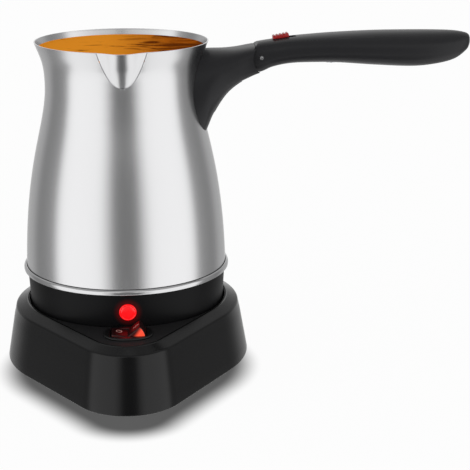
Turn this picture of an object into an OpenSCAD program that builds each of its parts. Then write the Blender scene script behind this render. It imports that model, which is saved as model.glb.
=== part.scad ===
// Electric coffee pot: a steel pot with a folding handle, standing on a corded
// power base.  Millimetres.  The origin is on the pot's axis, in the plane that
// the foot ring rests on.  +X points along the handle, -Y to the spout, +Z up.

/* [Pot] */
// Outer radius of the steel bead round the pot's foot
bead_r = 50; // [48:0.25:54]
// Height from the middle of the bead to the rim
pot_h = 109; // [104:0.2:116]
// How far the bead stands out from the wall above it
bead_stand = 1.4; // [1:0.1:2]
// Height of the bead
bead_h = 3; // [2.6:0.1:3.6]
// Outer radius at the waist
waist_r = 36.55; // [35:0.05:38]
// Height from the middle of the bead to the waist
waist_h = 88.8; // [86:0.1:90]
// Outer radius at the rim
rim_r = 40.95; // [40:0.05:43]
// Thickness of the steel sheet
steel_t = 0.6; // [0.5:0.05:0.9]
// Half of the spout's width at the rim
spout_half_w = 11.3; // [9:0.1:13]
// Height of the spout, from its lower point to the rim
spout_h = 16.6; // [14:0.1:19]
// How far the spout's lip reaches past the rim
spout_reach = 5.8; // [4:0.1:7]

/* [Collar and heater] */
// Height of the black collar under the bead
collar_h = 20.9; // [20:0.1:23]
// How far the top of the collar's wall lies inside the bead
collar_inset = 1.9; // [1.7:0.1:2.6]
// Thickness of the moulded walls of pot and base
wall_t = 2.2; // [1.8:0.1:2.6]
// Radius of the indicator's lens
lens_r = 3.85; // [3.6:0.05:4.6]
// Height of the indicator's middle above the collar's lower edge
lens_h = 12.9; // [12:0.1:13.6]
// Radius of the heater's cast plate
plate_r = 40; // [37:0.5:41]
// Thickness of the heater's cast plate
plate_t = 3.2; // [2.6:0.1:3.6]
// Radius of the ring that the sheathed heater follows
heater_r = 31; // [29:0.5:31.5]
// Radius of the sheathed heater's tube
tube_r = 3.2; // [2.8:0.1:3.4]

/* [Base] */
// How far the foot ring stands out under the base
foot_h = 1; // [0.6:0.1:1.6]
// How far the foot ring's middle lies inside the base's round back
foot_inset = 10.6; // [9:0.1:14]
// Height of the base's drafted side wall
side_h = 26.5; // [25:0.1:30]
// Rise of the sloped rim above the side wall
rim_rise = 2.7; // [2:0.1:3.2]
// Width of the sloped rim, seen from above
rim_w = 6; // [5:0.1:7]
// Radius of the base's round back at the bottom
back_r = 59.5; // [58:0.1:63]
// Radius of the base's nose at the bottom
nose_r = 26.5; // [25:0.1:29]
// Distance from the pot's axis to the centre of the nose
nose_y = 57.5; // [56:0.5:62]
// How far the side wall leans in, over its height
draft_in = 4.7; // [3:0.1:5.2]
// Depth of the nose's deck under the rim's crest
deck_drop = 0.4; // [0.3:0.1:1.2]
// Depth of the round well under the rim's crest
well_depth = 6.2; // [5:0.1:7]
// Thickness of the bottom cover
cover_t = 2.6; // [2.2:0.1:3]
// Radius of the bore for the mains lead
lead_bore_r = 3.3; // [2.8:0.05:3.8]

/* [Connector] */
// Radius of the round connector tower on the base
tower_r = 15; // [14:0.25:16]
// Height of the connector tower above the well's floor
tower_h = 12; // [11:0.25:12.4]

/* [Switch] */
// Distance from the pot's axis to the switch
switch_y = 57; // [56:0.5:58]
// Length of the switch's oval frame
frame_l = 22.4; // [21.6:0.2:23.2]
// Width of the switch's oval frame
frame_w = 17.4; // [16:0.2:18]
// Radius that the rocker's ends are turned to
rocker_r = 7.8; // [7.2:0.05:8]
// Width of the rocker
rocker_w = 9.6; // [9:0.1:10]
// Angle that the rocker tips through
rocker_throw = 30; // [24:0.5:32]

/* [Handle] */
// Reach of the fold pin past the rim
pin_reach = 24.55; // [24:0.05:26]
// Drop of the fold pin under the rim
pin_drop = 8; // [7.5:0.1:8.5]
// Radius of the fold pin
pin_r = 1; // [0.9:0.05:1.4]
// Length of the grip, from the fold pin to its tip
grip_l = 101; // [96:0.5:108]
// Half of the grip's greatest width
grip_half_w = 12.6; // [12:0.1:14]
// Half of the width of the neck at the pot
neck_half_w = 16.8; // [16:0.1:18]
// Half of the width of the neck at its mouth
mouth_half_w = 12; // [11.8:0.1:13]
// Radius of the neck's round mouth
mouth_r = 8.5; // [8.4:0.05:8.7]
// Half of the width of the grip where it enters the mouth
fork_half_w = 8.6; // [8.4:0.1:8.8]
// Half of the thickness of the neck's tongue
tongue_half_t = 4.2; // [3.8:0.1:4.4]
// Radius of the tongue's knuckle round the pin
knuckle_r = 4.6; // [4.4:0.05:4.7]
// Thickness of the grip's top cover
lid_t = 1.7; // [1.5:0.05:1.9]

/* [Latch] */
// Angle that the latch's slide rises along the grip
slide_rise = 8; // [7:0.5:9]
// Travel of the red latch button
latch_travel = 4; // [3:0.25:4.5]
// Length of the latch button
button_l = 7.8; // [7.4:0.1:8.6]
// Half of the width of the latch button
button_half_w = 3.9; // [3.6:0.1:4.4]
// Height of the latch button above its recess
button_h = 1.7; // [1.5:0.05:2]
// Number of ribs on the latch button
button_ribs = 5; // [4:1:6]

/* [Clearances] */
// Gap between parts that move on each other
run_gap = 0.3; // [0.25:0.05:0.35]
// Gap between parts that are fastened together
seat_gap = 0.05; // [0.03:0.01:0.08]
// Radial gap of a pin in its bore
pin_gap = 0.05; // [0.03:0.01:0.08]

/* [Hidden] */

// Facets: fine on true rounds, coarser on hulled and lofted shells
round_fn = 96;
back_steps = 60;
nose_steps = 24;
loop_count = 32;
station_steps = 2;
eps = 0.01;

BLACK = "#232323";
SATIN_BLACK = "#2c2c2c";
STEEL = "#c9c9c9";
RED = "#c01818";
BRASS = "#c8a24a";
RUBBER = "#1a1a1a";
CREAM = "#d8d2c4";

// Heights
base_z = foot_h;
side_top_z = base_z + side_h;
crest_z = side_top_z + rim_rise;
deck_z = crest_z - deck_drop;
well_z = crest_z - well_depth;
collar_z = well_z + run_gap;
collar_top_z = collar_z + collar_h;
bead_z = collar_top_z + bead_h / 2;
rim_z = bead_z + pot_h;
waist_z = bead_z + waist_h;
floor_z = bead_z + bead_h / 2 + 0.4;

// Pot and collar
foot_wall_r = bead_r - bead_stand;
collar_r = bead_r - collar_inset;
collar_low_r = collar_r - 1.1;
well_r = collar_low_r + 0.8;
lip_h = 1;
lens_z = collar_z + lens_h;
lens_face_r = collar_low_r + (collar_r - collar_low_r) * lens_h / collar_h;
collar_lean = atan((collar_r - collar_low_r) / collar_h);

// Base outline at the top of the side wall
back_top_r = back_r - draft_in;
nose_top_y = nose_y - 2.5;
nose_top_r = nose_r - draft_in + 1.5;

// Bottom cover and its fastenings
cover_z = base_z + 0.2;
cover_top_z = cover_z + cover_t;
boss_r = 3.6;
boss_place_r = back_r - foot_inset - 7;
boss_angles = [30, 150, 270];
screw_r = 1.25;
head_r = 2.7;
head_h = 1.3;
foot_r = back_r - foot_inset;
foot_half_w = 3;
foot_seat = 1.2;

// Mains lead, and the face of the pad that its bush sits on
lead_z = base_z + 11;
lead_wall_y = back_r - draft_in * (lead_z - base_z) / side_h;
pad_r = 7.4;
pad_y = lead_wall_y + 1.5;
bush_neck_r = lead_bore_r + 1.1;
clamp_x = 7;
clamp_y = lead_wall_y - 17;
clamp_t = 2.9;
clamp_z = lead_z - lead_bore_r - 0.1;

// Connector
groove_r = [11.8, 7.2];
groove_w = 1.4;
ring_t = 0.6;
tower_top_z = well_z + tower_h;
groove_z = tower_top_z - 10;
tower_screw_r = tower_r + 3.6;
roof_z = tower_top_z + 1.2;
socket_r = tower_r + 0.4;
socket_wall = 3.1;
socket_out_r = socket_r + socket_wall;
socket_top_z = roof_z + 2.6;
flange_r = socket_out_r + 6;
plate_low_z = collar_z + 0.3;
post_place_r = collar_low_r - wall_t - 3.4;
post_angles = [20, 140, 260];

// Switch
pivot_z = deck_z - 0.7;
frame_rise = 1;
frame_top_z = deck_z + frame_rise;
axle_r = 1;
switch_low_z = deck_z - 16;
barrel_l = 10.4;
barrel_w = 7.2;
terminal_xs = [-6, 0, 6];

// Handle, measured from the fold pin
pin_x = rim_r + pin_reach;
pin_z = rim_z - pin_drop;
mouth_x = 3.7;
mouth_dz = -0.2;
fork_in = tongue_half_t + run_gap;
bolt_half_w = 3;
bolt_low = 1;
bolt_top = 4;
bolt_tip = knuckle_r + 0.4;
recess_floor = 6;
button_u = 7;
button_low = recess_floor + 0.25;
post_u = [9, 13.5];
spring_u = 15;
channel_end_u = 23;
fork_floor = knuckle_r + 0.6;

// Bracket in the neck, its screw, and the insert that hides them
bracket_z = pin_z - 9;
bracket_half_h = 9;
bracket_half_w = 6;
bracket_end = waist_r + 15.5;
bracket_hole_x = waist_r + 10.5;
bracket_head_z = bracket_z - 5.5;
insert_from = -22;
insert_to = -9.2;
insert_half_w = 7;

// Points for handle stations: distance from the pin, lower edge, upper edge,
// half width, squareness.  Heights are from the pin, too.
neck_stations = [
    [-36, -49.5, 3.8, neck_half_w, 2.2],
    [-27.5, -38.4, 3.7, neck_half_w - 0.5, 2.2],
    [-22.7, -27.5, 3.65, neck_half_w - 1.3, 2.3],
    [-16.9, -18.1, 3.6, neck_half_w - 2.6, 2.5],
    [-11.2, -12.7, 3.95, mouth_half_w + 1.2, 2.9],
    [-5.5, -9.6, 4.8, mouth_half_w + 0.3, 3.4],
    [1.5, -6.9, 5.9, mouth_half_w, 3.6]
];
k = grip_l / 101;
grip_stations = [
    [-9, -10, 5, fork_half_w, 2.6],
    [0.3, -7.5, 6.85, fork_half_w, 2.6],
    [6 * k, -5.1, 7.65, fork_half_w + 0.1, 2.6],
    [14.6 * k, -3.5, 8.9, fork_half_w + 1, 2.6],
    [26.1 * k, -3.2, 9.85, grip_half_w - 1.8, 2.5],
    [37.7 * k, -3.5, 10.55, grip_half_w - 0.7, 2.4],
    [55 * k, -4.85, 11.2, grip_half_w, 2.3],
    [72.5 * k, -5.7, 11.25, grip_half_w, 2.3],
    [84.2 * k, -4.75, 11.1, grip_half_w - 0.9, 2.3],
    [93 * k, -2.65, 10.75, grip_half_w - 3.2, 2.3],
    [98.5 * k, 0.9, 9.9, grip_half_w - 6.4, 2.2],
    [100.4 * k, 3.2, 8.9, 3.4, 2.1],
    [grip_l, 5.2, 7.2, 1.1, 2]
];
grip_screw_x = [34 * k, 80 * k];

// ---------- curves ----------

function mix(a, b, t) = a + (b - a) * t;

function bezier(p, t) =
    pow(1 - t, 3) * p[0] + 3 * t * pow(1 - t, 2) * p[1]
    + 3 * t * t * (1 - t) * p[2] + pow(t, 3) * p[3];

// A smooth run of rows through the given ones
function between(a, b, c, d, t) =
    0.5 * (2 * b + (c - a) * t + (2 * a - 5 * b + 4 * c - d) * t * t
    + (3 * b - a - 3 * c + d) * pow(t, 3));

function smooth(rows, steps) = let (last = len(rows) - 1) [
    for (i = [0:last - 1], j = [0:steps - 1])
        between(rows[max(i - 1, 0)], rows[i], rows[i + 1], rows[min(i + 2, last)], j / steps),
    rows[last]
];

function power_sign(v, n) = sign(v) * pow(abs(v), n);

// Points of an oval with the given squareness, as [across, up]
function oval(half_w, half_h, square, count) = [
    for (i = [0:count - 1]) let (a = 360 * (i + 0.5) / count)
        [half_w * power_sign(cos(a), 2 / square), half_h * power_sign(sin(a), 2 / square)]
];

// ---------- shapes ----------

// Solid through rings of points, each with the same count
module skin(rings) {
    count = len(rings[0]);
    last = len(rings) - 1;
    near_cap = [[for (i = [0:count - 1]) i]];
    far_cap = [[for (i = [0:count - 1]) last * count + count - 1 - i]];
    walls = [
        for (r = [0:last - 1], i = [0:count - 1]) let (
            a = r * count + i, b = r * count + (i + 1) % count
        ) each [[a, a + count, b + count], [a, b + count, b]]
    ];
    polyhedron([for (r = rings) each r], concat(near_cap, walls, far_cap), convexity = 6);
}

// Solid through oval sections that stand across X
module loft(rows, count) {
    skin([
        for (r = rows) let (mid = (r[1] + r[2]) / 2, half_h = (r[2] - r[1]) / 2)
            [for (p = oval(r[3], half_h, r[4], count)) [r[0], p[0], mid + p[1]]]
    ]);
}

// Outline drawn in XZ, as thick as the given half width each way along Y
module side_cut(half_w) {
    rotate([90, 0, 0]) linear_extrude(2 * half_w, center = true) children();
}

module at_pin() {
    translate([pin_x, 0, pin_z]) children();
}

// Frame of the latch: its X runs along the slide, its Z away from the grip
module at_slide() {
    at_pin() rotate([0, -slide_rise, 0]) children();
}

module bar(low, high) {
    translate(low) cube(high - low);
}

module ring(outer, inner, low, high) {
    difference() {
        translate([0, 0, low]) cylinder(r = outer, h = high - low, $fn = round_fn);
        translate([0, 0, low - 1]) cylinder(r = inner, h = high - low + 2, $fn = round_fn);
    }
}

// Cross-head screw: its head's top is at z = 0 and the shank points down
module screw(shank_r, length, top_r, top_h) {
    difference() {
        translate([0, 0, -top_h]) cylinder(r = top_r, h = top_h, $fn = 32);
        for (a = [0, 90]) rotate(a)
            translate([-top_r * 0.55, -0.3, -top_h * 0.6]) cube([top_r * 1.1, 0.6, top_h]);
    }
    translate([0, 0, -length]) cylinder(r = shank_r, h = length - top_h, $fn = 24);
}

module at_places(place_r, angles) {
    for (a = angles) rotate(a) translate([place_r, 0, 0]) children();
}

// ---------- base ----------

// Round back joined to the round nose by their two common tangents
function drop(back, nose, nose_at) = let (lean = asin((back - nose) / nose_at)) concat(
    [for (i = [0:back_steps]) let (a = -lean + (180 + 2 * lean) * i / back_steps)
        back * [cos(a), sin(a)]],
    [for (i = [0:nose_steps]) let (a = 180 + lean + (180 - 2 * lean) * i / nose_steps)
        nose * [cos(a), sin(a)] - [0, nose_at]]
);

// Outline of the base at a height of its drafted wall
module base_outline(z, inset) {
    t = (z - base_z) / side_h;
    polygon(drop(
        mix(back_r, back_top_r, t) - inset,
        mix(nose_r, nose_top_r, t) - inset,
        mix(nose_y, nose_top_y, t)
    ));
}

module base_slice(z, inset, outline_z) {
    translate([0, 0, z]) linear_extrude(eps) base_outline(outline_z, inset);
}

// Drafted body with a softened foot and shoulder and a sloped rim
module base_form() {
    hull() {
        for (s = [[0, 0.7], [0.25, 0.2], [0.8, 0]]) base_slice(base_z + s[0], s[1], base_z + s[0]);
        for (s = [[-1.2, 0], [-0.5, 0.15], [0.1, 0.6]])
            base_slice(side_top_z + s[0], s[1], side_top_z);
        for (s = [[-0.45, -0.9], [0, 0]])
            base_slice(crest_z - eps + s[0], rim_w + s[1], side_top_z);
    }
}

module base_hollow() {
    ceiling_z = deck_z - wall_t;
    hull() {
        base_slice(base_z - 1, wall_t + 0.3, base_z);
        base_slice(ceiling_z - eps, wall_t + 1.6, side_top_z);
    }
}

module base_shell() {
    color(BLACK) difference() {
        union() {
            difference() {
                base_form();
                difference() {
                    base_hollow();
                    translate([0, 0, well_z - wall_t])
                        cylinder(r = well_r + wall_t, h = well_depth + wall_t, $fn = round_fn);
                }
            }
            at_places(boss_place_r, boss_angles) translate([0, 0, cover_top_z])
                cylinder(r = boss_r, h = well_z - wall_t / 2 - cover_top_z, $fn = 32);
            for (x = [-1, 1] * clamp_x) translate([x, clamp_y, clamp_z])
                cylinder(r = 2.8, h = well_z - wall_t / 2 - clamp_z, $fn = 32);
            bar([-clamp_x, clamp_y - 1, lead_z + lead_bore_r + 0.2], [clamp_x, clamp_y + 1, well_z - 1]);
            translate([0, pad_y - wall_t - 1, lead_z]) rotate([-90, 0, 0])
                cylinder(r = pad_r, h = wall_t + 1, $fn = 64);
        }
        // seat of the bottom cover
        translate([0, 0, base_z - 1]) linear_extrude(cover_top_z + seat_gap - base_z + 1)
            base_outline(base_z, wall_t + 0.3);
        // deck of the nose, and the pot's well
        translate([0, 0, deck_z]) linear_extrude(deck_drop + 1) base_outline(side_top_z, rim_w);
        translate([0, 0, well_z]) cylinder(r = well_r, h = well_depth + 1, $fn = round_fn);
        // connector's hole and its screws
        translate([0, 0, well_z - wall_t - 1])
            cylinder(r = tower_r + seat_gap, h = wall_t + 2, $fn = round_fn);
        at_places(tower_screw_r, [90, 270]) translate([0, 0, well_z - wall_t - 1])
            cylinder(r = screw_r + pin_gap, h = wall_t + 0.2, $fn = 24);
        // switch's hole
        translate([0, -switch_y, well_z - wall_t - 1])
            linear_extrude(deck_z - well_z + wall_t + 2) polygon(oval(barrel_l, barrel_w, 3, 48));
        // pilot holes
        at_places(boss_place_r, boss_angles) translate([0, 0, cover_top_z - 1])
            cylinder(r = screw_r + pin_gap, h = 12, $fn = 24);
        for (x = [-1, 1] * clamp_x) translate([x, clamp_y, clamp_z - 1])
            cylinder(r = screw_r + pin_gap, h = 8, $fn = 24);
        // lead's hole through the back wall
        translate([0, back_r - 9, lead_z]) rotate([-90, 0, 0])
            cylinder(r = bush_neck_r + seat_gap, h = 20, $fn = 48);
    }
}

module base_cover() {
    color(BLACK) difference() {
        translate([0, 0, cover_z]) linear_extrude(cover_t)
            base_outline(base_z, wall_t + 0.3 + 0.35);
        // groove for the foot ring, screw seats and vents
        ring(foot_r + foot_half_w + seat_gap, foot_r - foot_half_w - seat_gap,
            cover_z - 1, cover_z + foot_seat);
        at_places(boss_place_r, boss_angles) {
            translate([0, 0, cover_z - 1]) cylinder(r = head_r + 0.2, h = 1 + head_h + 0.1, $fn = 32);
            translate([0, 0, cover_z]) cylinder(r = screw_r + 0.15, h = cover_t + 1, $fn = 24);
        }
        for (i = [-2:2]) translate([i * 6 - 1, -26, cover_z - 1]) cube([2, 14, cover_t + 2]);
    }
}

module foot_ring() {
    color(RUBBER) rotate_extrude($fn = round_fn) translate([foot_r, 0]) polygon([
        [-foot_half_w + 0.8, 0], [foot_half_w - 0.8, 0], [foot_half_w, 0.8],
        [foot_half_w, cover_z + foot_seat - seat_gap],
        [-foot_half_w, cover_z + foot_seat - seat_gap], [-foot_half_w, 0.8]
    ]);
}

module cover_screws() {
    color(STEEL) at_places(boss_place_r, boss_angles)
        translate([0, 0, cover_z + 0.1]) mirror([0, 0, 1]) screw(screw_r, 11, head_r, head_h);
}

module base_connector() {
    under_z = well_z - wall_t - seat_gap;
    color(BLACK) difference() {
        union() {
            translate([0, 0, under_z - 3]) cylinder(r = tower_r, h = tower_top_z - under_z + 2.2, $fn = round_fn);
            translate([0, 0, tower_top_z - 0.8]) cylinder(r1 = tower_r, r2 = tower_r - 0.8, h = 0.8, $fn = round_fn);
            translate([0, 0, under_z - 3]) cylinder(r = tower_r + 6, h = 3, $fn = round_fn);
        }
        for (r = groove_r) ring(r + groove_w / 2, r - groove_w / 2, groove_z, tower_top_z + 1);
        translate([0, 0, groove_z]) cylinder(r = 2.6, h = 20, $fn = 48);
        at_places(tower_screw_r, [90, 270]) translate([0, 0, under_z - 4])
            cylinder(r = screw_r + 0.15, h = 5, $fn = 24);
        translate([0, 0, under_z - 4]) cylinder(r = 9, h = 3, $fn = 48);
    }
}

module base_contacts() {
    color(BRASS) {
        for (r = groove_r) ring(r + ring_t / 2 + 0.35, r - ring_t / 2 - 0.35, groove_z, groove_z + 2.6);
        ring(2.55, 1.9, groove_z, groove_z + 6);
    }
}

module connector_screws() {
    color(STEEL) at_places(tower_screw_r, [90, 270])
        translate([0, 0, well_z - wall_t - seat_gap - 3 - head_h])
            mirror([0, 0, 1]) screw(screw_r, 3 + head_h + wall_t - 0.9, head_r - 0.4, head_h);
}

module lead_bush() {
    flange_h = 2.2;
    inner_y = lead_wall_y - wall_t - 4.7;
    color(RUBBER) difference() {
        translate([0, 0, lead_z]) rotate([-90, 0, 0]) {
            translate([0, 0, pad_y + seat_gap])
                cylinder(r1 = bush_neck_r + 1.6, r2 = bush_neck_r + 0.9, h = flange_h, $fn = 48);
            translate([0, 0, inner_y + 1]) cylinder(r = bush_neck_r, h = pad_y - inner_y, $fn = 48);
            translate([0, 0, inner_y]) cylinder(r = bush_neck_r + 1.4, h = flange_h, $fn = 48);
        }
        translate([0, inner_y - 5, lead_z]) rotate([-90, 0, 0]) cylinder(r = lead_bore_r, h = 40, $fn = 64);
    }
}

module lead_clamp() {
    color(BLACK) difference() {
        bar([-clamp_x - 3.4, clamp_y - 3, clamp_z - clamp_t], [clamp_x + 3.4, clamp_y + 3, clamp_z]);
        for (x = [-1, 1] * clamp_x) translate([x, clamp_y, clamp_z - 4])
            cylinder(r = screw_r + 0.15, h = 6, $fn = 24);
        translate([0, clamp_y - 5, clamp_z + lead_bore_r - 0.6]) rotate([-90, 0, 0])
            cylinder(r = lead_bore_r, h = 10, $fn = 48);
    }
}

module clamp_screws() {
    color(STEEL) for (x = [-1, 1] * clamp_x) translate([x, clamp_y, clamp_z - clamp_t - 1])
        mirror([0, 0, 1]) screw(screw_r, 9.5, head_r - 0.4, 1);
}

// ---------- switch ----------

module switch_frame() {
    color(BLACK) translate([0, -switch_y, 0]) difference() {
        union() {
            translate([0, 0, deck_z]) linear_extrude(frame_rise * 0.6)
                polygon(oval(frame_l / 2, frame_w / 2, 2.4, 64));
            translate([0, 0, deck_z + frame_rise * 0.6]) linear_extrude(frame_rise * 0.4)
                polygon(oval(frame_l / 2 - 0.5, frame_w / 2 - 0.5, 2.4, 64));
            translate([0, 0, switch_low_z]) linear_extrude(deck_z - switch_low_z)
                polygon(oval(barrel_l - 0.2, barrel_w - 0.2, 3, 48));
        }
        // room for the rocker, and its two bearings
        bar([-rocker_r - 0.35, -rocker_w / 2 - 0.3, pivot_z - rocker_r - 0.6],
            [rocker_r + 0.35, rocker_w / 2 + 0.3, frame_top_z + 1]);
        bar([-6, -4, switch_low_z + 1.6], [6, 4, pivot_z]);
        translate([0, 0, pivot_z]) rotate([90, 0, 0])
            cylinder(r = axle_r + pin_gap, h = rocker_w + 2.4, center = true, $fn = 32);
        for (x = terminal_xs) translate([x - 0.4 - seat_gap, -2.5 - seat_gap, switch_low_z - 1])
            cube([0.8 + 2 * seat_gap, 5 + 2 * seat_gap, 5]);
    }
}

// Rocker in its rest position, with its right-hand end up
module switch_rocker() {
    half = rocker_throw / 2;
    tip = 33;
    color(RED) translate([0, -switch_y, pivot_z]) rotate([0, -half, 0]) {
        difference() {
            side_cut(rocker_w / 2) intersection() {
                circle(rocker_r, $fn = round_fn);
                polygon([
                    [0, 1.3], [rocker_r * cos(tip), rocker_r * sin(tip)], [2 * rocker_r, 0],
                    [5.2, -3.2], [-5.2, -3.2], [-2 * rocker_r, 0],
                    [-rocker_r * cos(tip), rocker_r * sin(tip)]
                ]);
            }
            bar([-4.4, -rocker_w / 2 + 1.2, -4], [4.4, rocker_w / 2 - 1.2, -0.4]);
        }
        rotate([90, 0, 0]) cylinder(r = axle_r, h = rocker_w + 2, center = true, $fn = 32);
    }
}

module switch_lamp() {
    color(CREAM) translate([0, -switch_y, 0]) translate([-3, 0, switch_low_z + 3.6])
        rotate([0, 90, 0]) cylinder(r = 2, h = 6, $fn = 32);
}

module switch_terminals() {
    color(BRASS) for (x = terminal_xs) translate([x - 0.4, -switch_y - 2.5, switch_low_z - 6.5])
        cube([0.8, 5, 8.1]);
}

// ---------- pot ----------

// Outer face of the wall, from the foot to the rim, as [radius, height]
function wall_low(t) = bezier([
    [foot_wall_r, bead_z + bead_h / 2], [foot_wall_r - 1.45, bead_z + waist_h * 0.614],
    [waist_r, waist_z - waist_h * 0.219], [waist_r, waist_z]
], t);
function wall_high(t) = bezier([
    [waist_r, waist_z], [waist_r, waist_z + (pot_h - waist_h) * 0.518],
    [rim_r - (rim_r - waist_r) * 0.669, rim_z - (pot_h - waist_h) * 0.386], [rim_r, rim_z]
], t);
wall_points = concat([for (i = [0:15]) wall_low(i / 16)], [for (i = [0:8]) wall_high(i / 8)]);

// Everything inside the wall's outer face moved in by inset
module wall_solid(inset, low_z) {
    rotate_extrude($fn = round_fn) polygon(concat(
        [[0, low_z], [foot_wall_r - inset, low_z]],
        [for (p = wall_points) p - [inset, 0]],
        [[0, rim_z]]
    ));
}

function wall_radius(z) = lookup(z, [for (p = wall_points) [p[1], p[0]]]);

// Level section of the pressed spout, from 0 at its lower point to 1 at the rim.
// Its flanks run from a rounded keel to a crease that stands just off the wall.
function spout_ring(f, inset) = let (
    crease = 0.12,
    wall = wall_radius(rim_z - spout_h * (1 - f)) - inset,
    low = wall_radius(rim_z - spout_h) + 0.3,
    keel = [0, inset * 1.15 - mix(low, rim_r + spout_reach, min(f, 1))],
    half_w = spout_half_w * pow(max(min(f, 1), 0.004), 0.45),
    away = [sin(asin(half_w / wall)), -cos(asin(half_w / wall))],
    edge = (wall + crease) * away,
    root = (wall - 3) * away,
    run = edge - keel,
    way = run / norm(run),
    soft = min(6.4, norm(run) * 0.55)
) [
    for (p = [
        for (i = [0:8]) let (t = i / 8)
            keel + soft * (pow(1 - t, 2) * [-way[0], way[1]] + t * t * way),
        edge, root, [-root[0], root[1]], [-edge[0], edge[1]]
    ]) [p[0], p[1], rim_z - spout_h * (1 - f)]
];

// The first ring closes the form inside the wall, under the lower point
module spout_form(inset, top) {
    low = spout_ring(0, inset);
    skin(concat(
        [[for (p = low) [p[0] * 0.6, p[1] + 2.2, p[2] - 1.2]]],
        [for (f = [0, 0.04, 0.1, 0.2, 0.32, 0.45, 0.6, 0.75, 0.88, top]) spout_ring(f, inset)]
    ));
}

module pot_vessel() {
    skirt_z = collar_top_z + lip_h + seat_gap;
    color(STEEL) difference() {
        union() {
            wall_solid(0, skirt_z);
            spout_form(0, 1);
        }
        // inside above the floor, skirt under it, and the spout's channel
        intersection() {
            wall_solid(steel_t, skirt_z);
            translate([0, 0, floor_z + steel_t]) cylinder(r = bead_r, h = pot_h, $fn = round_fn);
        }
        translate([0, 0, skirt_z - 1])
            cylinder(r = foot_wall_r - steel_t, h = floor_z - skirt_z + 1, $fn = round_fn);
        spout_form(steel_t, 1.1);
        translate([0, 0, rim_z - eps]) cylinder(r = rim_r + 10, h = 5, $fn = round_fn);
    }
}

module bead_ring() {
    half = bead_h / 2;
    color(STEEL) translate([0, 0, bead_z]) rotate_extrude($fn = round_fn) polygon(concat(
        [[foot_wall_r - 2.6, -half], [foot_wall_r - 0.4, -half]],
        [for (i = [0:12]) let (a = -90 + 15 * i)
            [foot_wall_r + seat_gap + 0.2 + (bead_stand - seat_gap - 0.2) * cos(a), half * sin(a)]],
        [[foot_wall_r + seat_gap, half - 0.1], [foot_wall_r + seat_gap, lip_h - half],
            [foot_wall_r - 2.6, lip_h - half]]
    ));
}

module vessel_seal() {
    color(RUBBER) ring(foot_wall_r - steel_t - seat_gap, foot_wall_r - 3.6,
        collar_top_z + lip_h + seat_gap, floor_z - 0.6);
}

module pot_collar() {
    in_r = collar_low_r - wall_t;
    shelf = 2;
    color(BLACK) difference() {
        union() {
            rotate_extrude($fn = round_fn) polygon([
                [in_r, collar_z + 0.6], [in_r + 0.6, collar_z], [collar_low_r - 0.5, collar_z],
                [collar_low_r, collar_z + 0.5], [collar_r, collar_top_z - 0.6],
                [collar_r - 0.6, collar_top_z - seat_gap], [plate_r + 2, collar_top_z - seat_gap],
                [plate_r + 2, collar_top_z - shelf], [in_r, collar_top_z - shelf]
            ]);
            at_places(post_place_r, post_angles) translate([0, 0, plate_low_z + wall_t + seat_gap])
                cylinder(r = 3.2, h = collar_h - wall_t - 1, $fn = 32);
        }
        at_lens() translate([0, 0, -wall_t - 3]) cylinder(r = lens_r - 0.6, h = wall_t + 8, $fn = 48);
        at_places(post_place_r, post_angles) translate([0, 0, collar_z])
            cylinder(r = screw_r + pin_gap, h = 12, $fn = 24);
    }
}

module collar_plate() {
    in_r = collar_low_r - wall_t;
    color(BLACK) difference() {
        translate([0, 0, plate_low_z]) cylinder(r = in_r - 0.1, h = wall_t, $fn = round_fn);
        translate([0, 0, plate_low_z - 1]) cylinder(r = socket_out_r + 0.1, h = wall_t + 2, $fn = round_fn);
        at_places(post_place_r, post_angles) {
            translate([0, 0, plate_low_z - 1]) cylinder(r = screw_r + 0.15, h = 5, $fn = 24);
            translate([0, 0, plate_low_z - 1]) cylinder(r = head_r + 0.2, h = 2.1, $fn = 32);
        }
        at_places(socket_out_r + 3.4, [90, 270]) translate([0, 0, plate_low_z + 0.6])
            cylinder(r = screw_r + pin_gap, h = 5, $fn = 24);
    }
}

module collar_screws() {
    color(STEEL) at_places(post_place_r, post_angles) translate([0, 0, plate_low_z + 0.1])
        mirror([0, 0, 1]) screw(screw_r, 10, head_r, 1);
}

module heater_plate() {
    color("#b5b5b0") translate([0, 0, floor_z - seat_gap - plate_t])
        cylinder(r = plate_r, h = plate_t, $fn = round_fn);
}

// Open ring of sheathed tube under the cast plate, with two cold ends
module heater_tube() {
    gap_deg = 60;
    mid_z = floor_z - 2 * seat_gap - plate_t - tube_r;
    color("#8f8f8a") translate([0, 0, mid_z]) {
        rotate(90 + gap_deg / 2) rotate_extrude(angle = 360 - gap_deg, $fn = round_fn)
            translate([heater_r, 0]) circle(tube_r, $fn = 32);
        for (a = [90 - gap_deg / 2, 90 + gap_deg / 2]) rotate(a) translate([heater_r, 0, 0]) {
            rotate([a > 90 ? 90 : -90, 0, 0]) cylinder(r = 1.4, h = 4, $fn = 24);
        }
    }
}

module thermostat() {
    top_z = floor_z - 2 * seat_gap - plate_t;
    color(CREAM) {
        translate([0, 0, socket_top_z + seat_gap]) cylinder(r = 8.5, h = top_z - 1.2 - socket_top_z - seat_gap, $fn = 64);
        translate([0, 0, top_z - 1.2]) cylinder(r = 10, h = 1.2, $fn = 64);
    }
}

module thermal_fuse() {
    color(STEEL) translate([-7, -20, floor_z - 2 * seat_gap - plate_t - 2.2]) rotate([0, 90, 0]) {
        cylinder(r = 2.2, h = 14, $fn = 32);
        translate([0, 0, -4]) cylinder(r = 0.5, h = 22, $fn = 16);
    }
}

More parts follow.
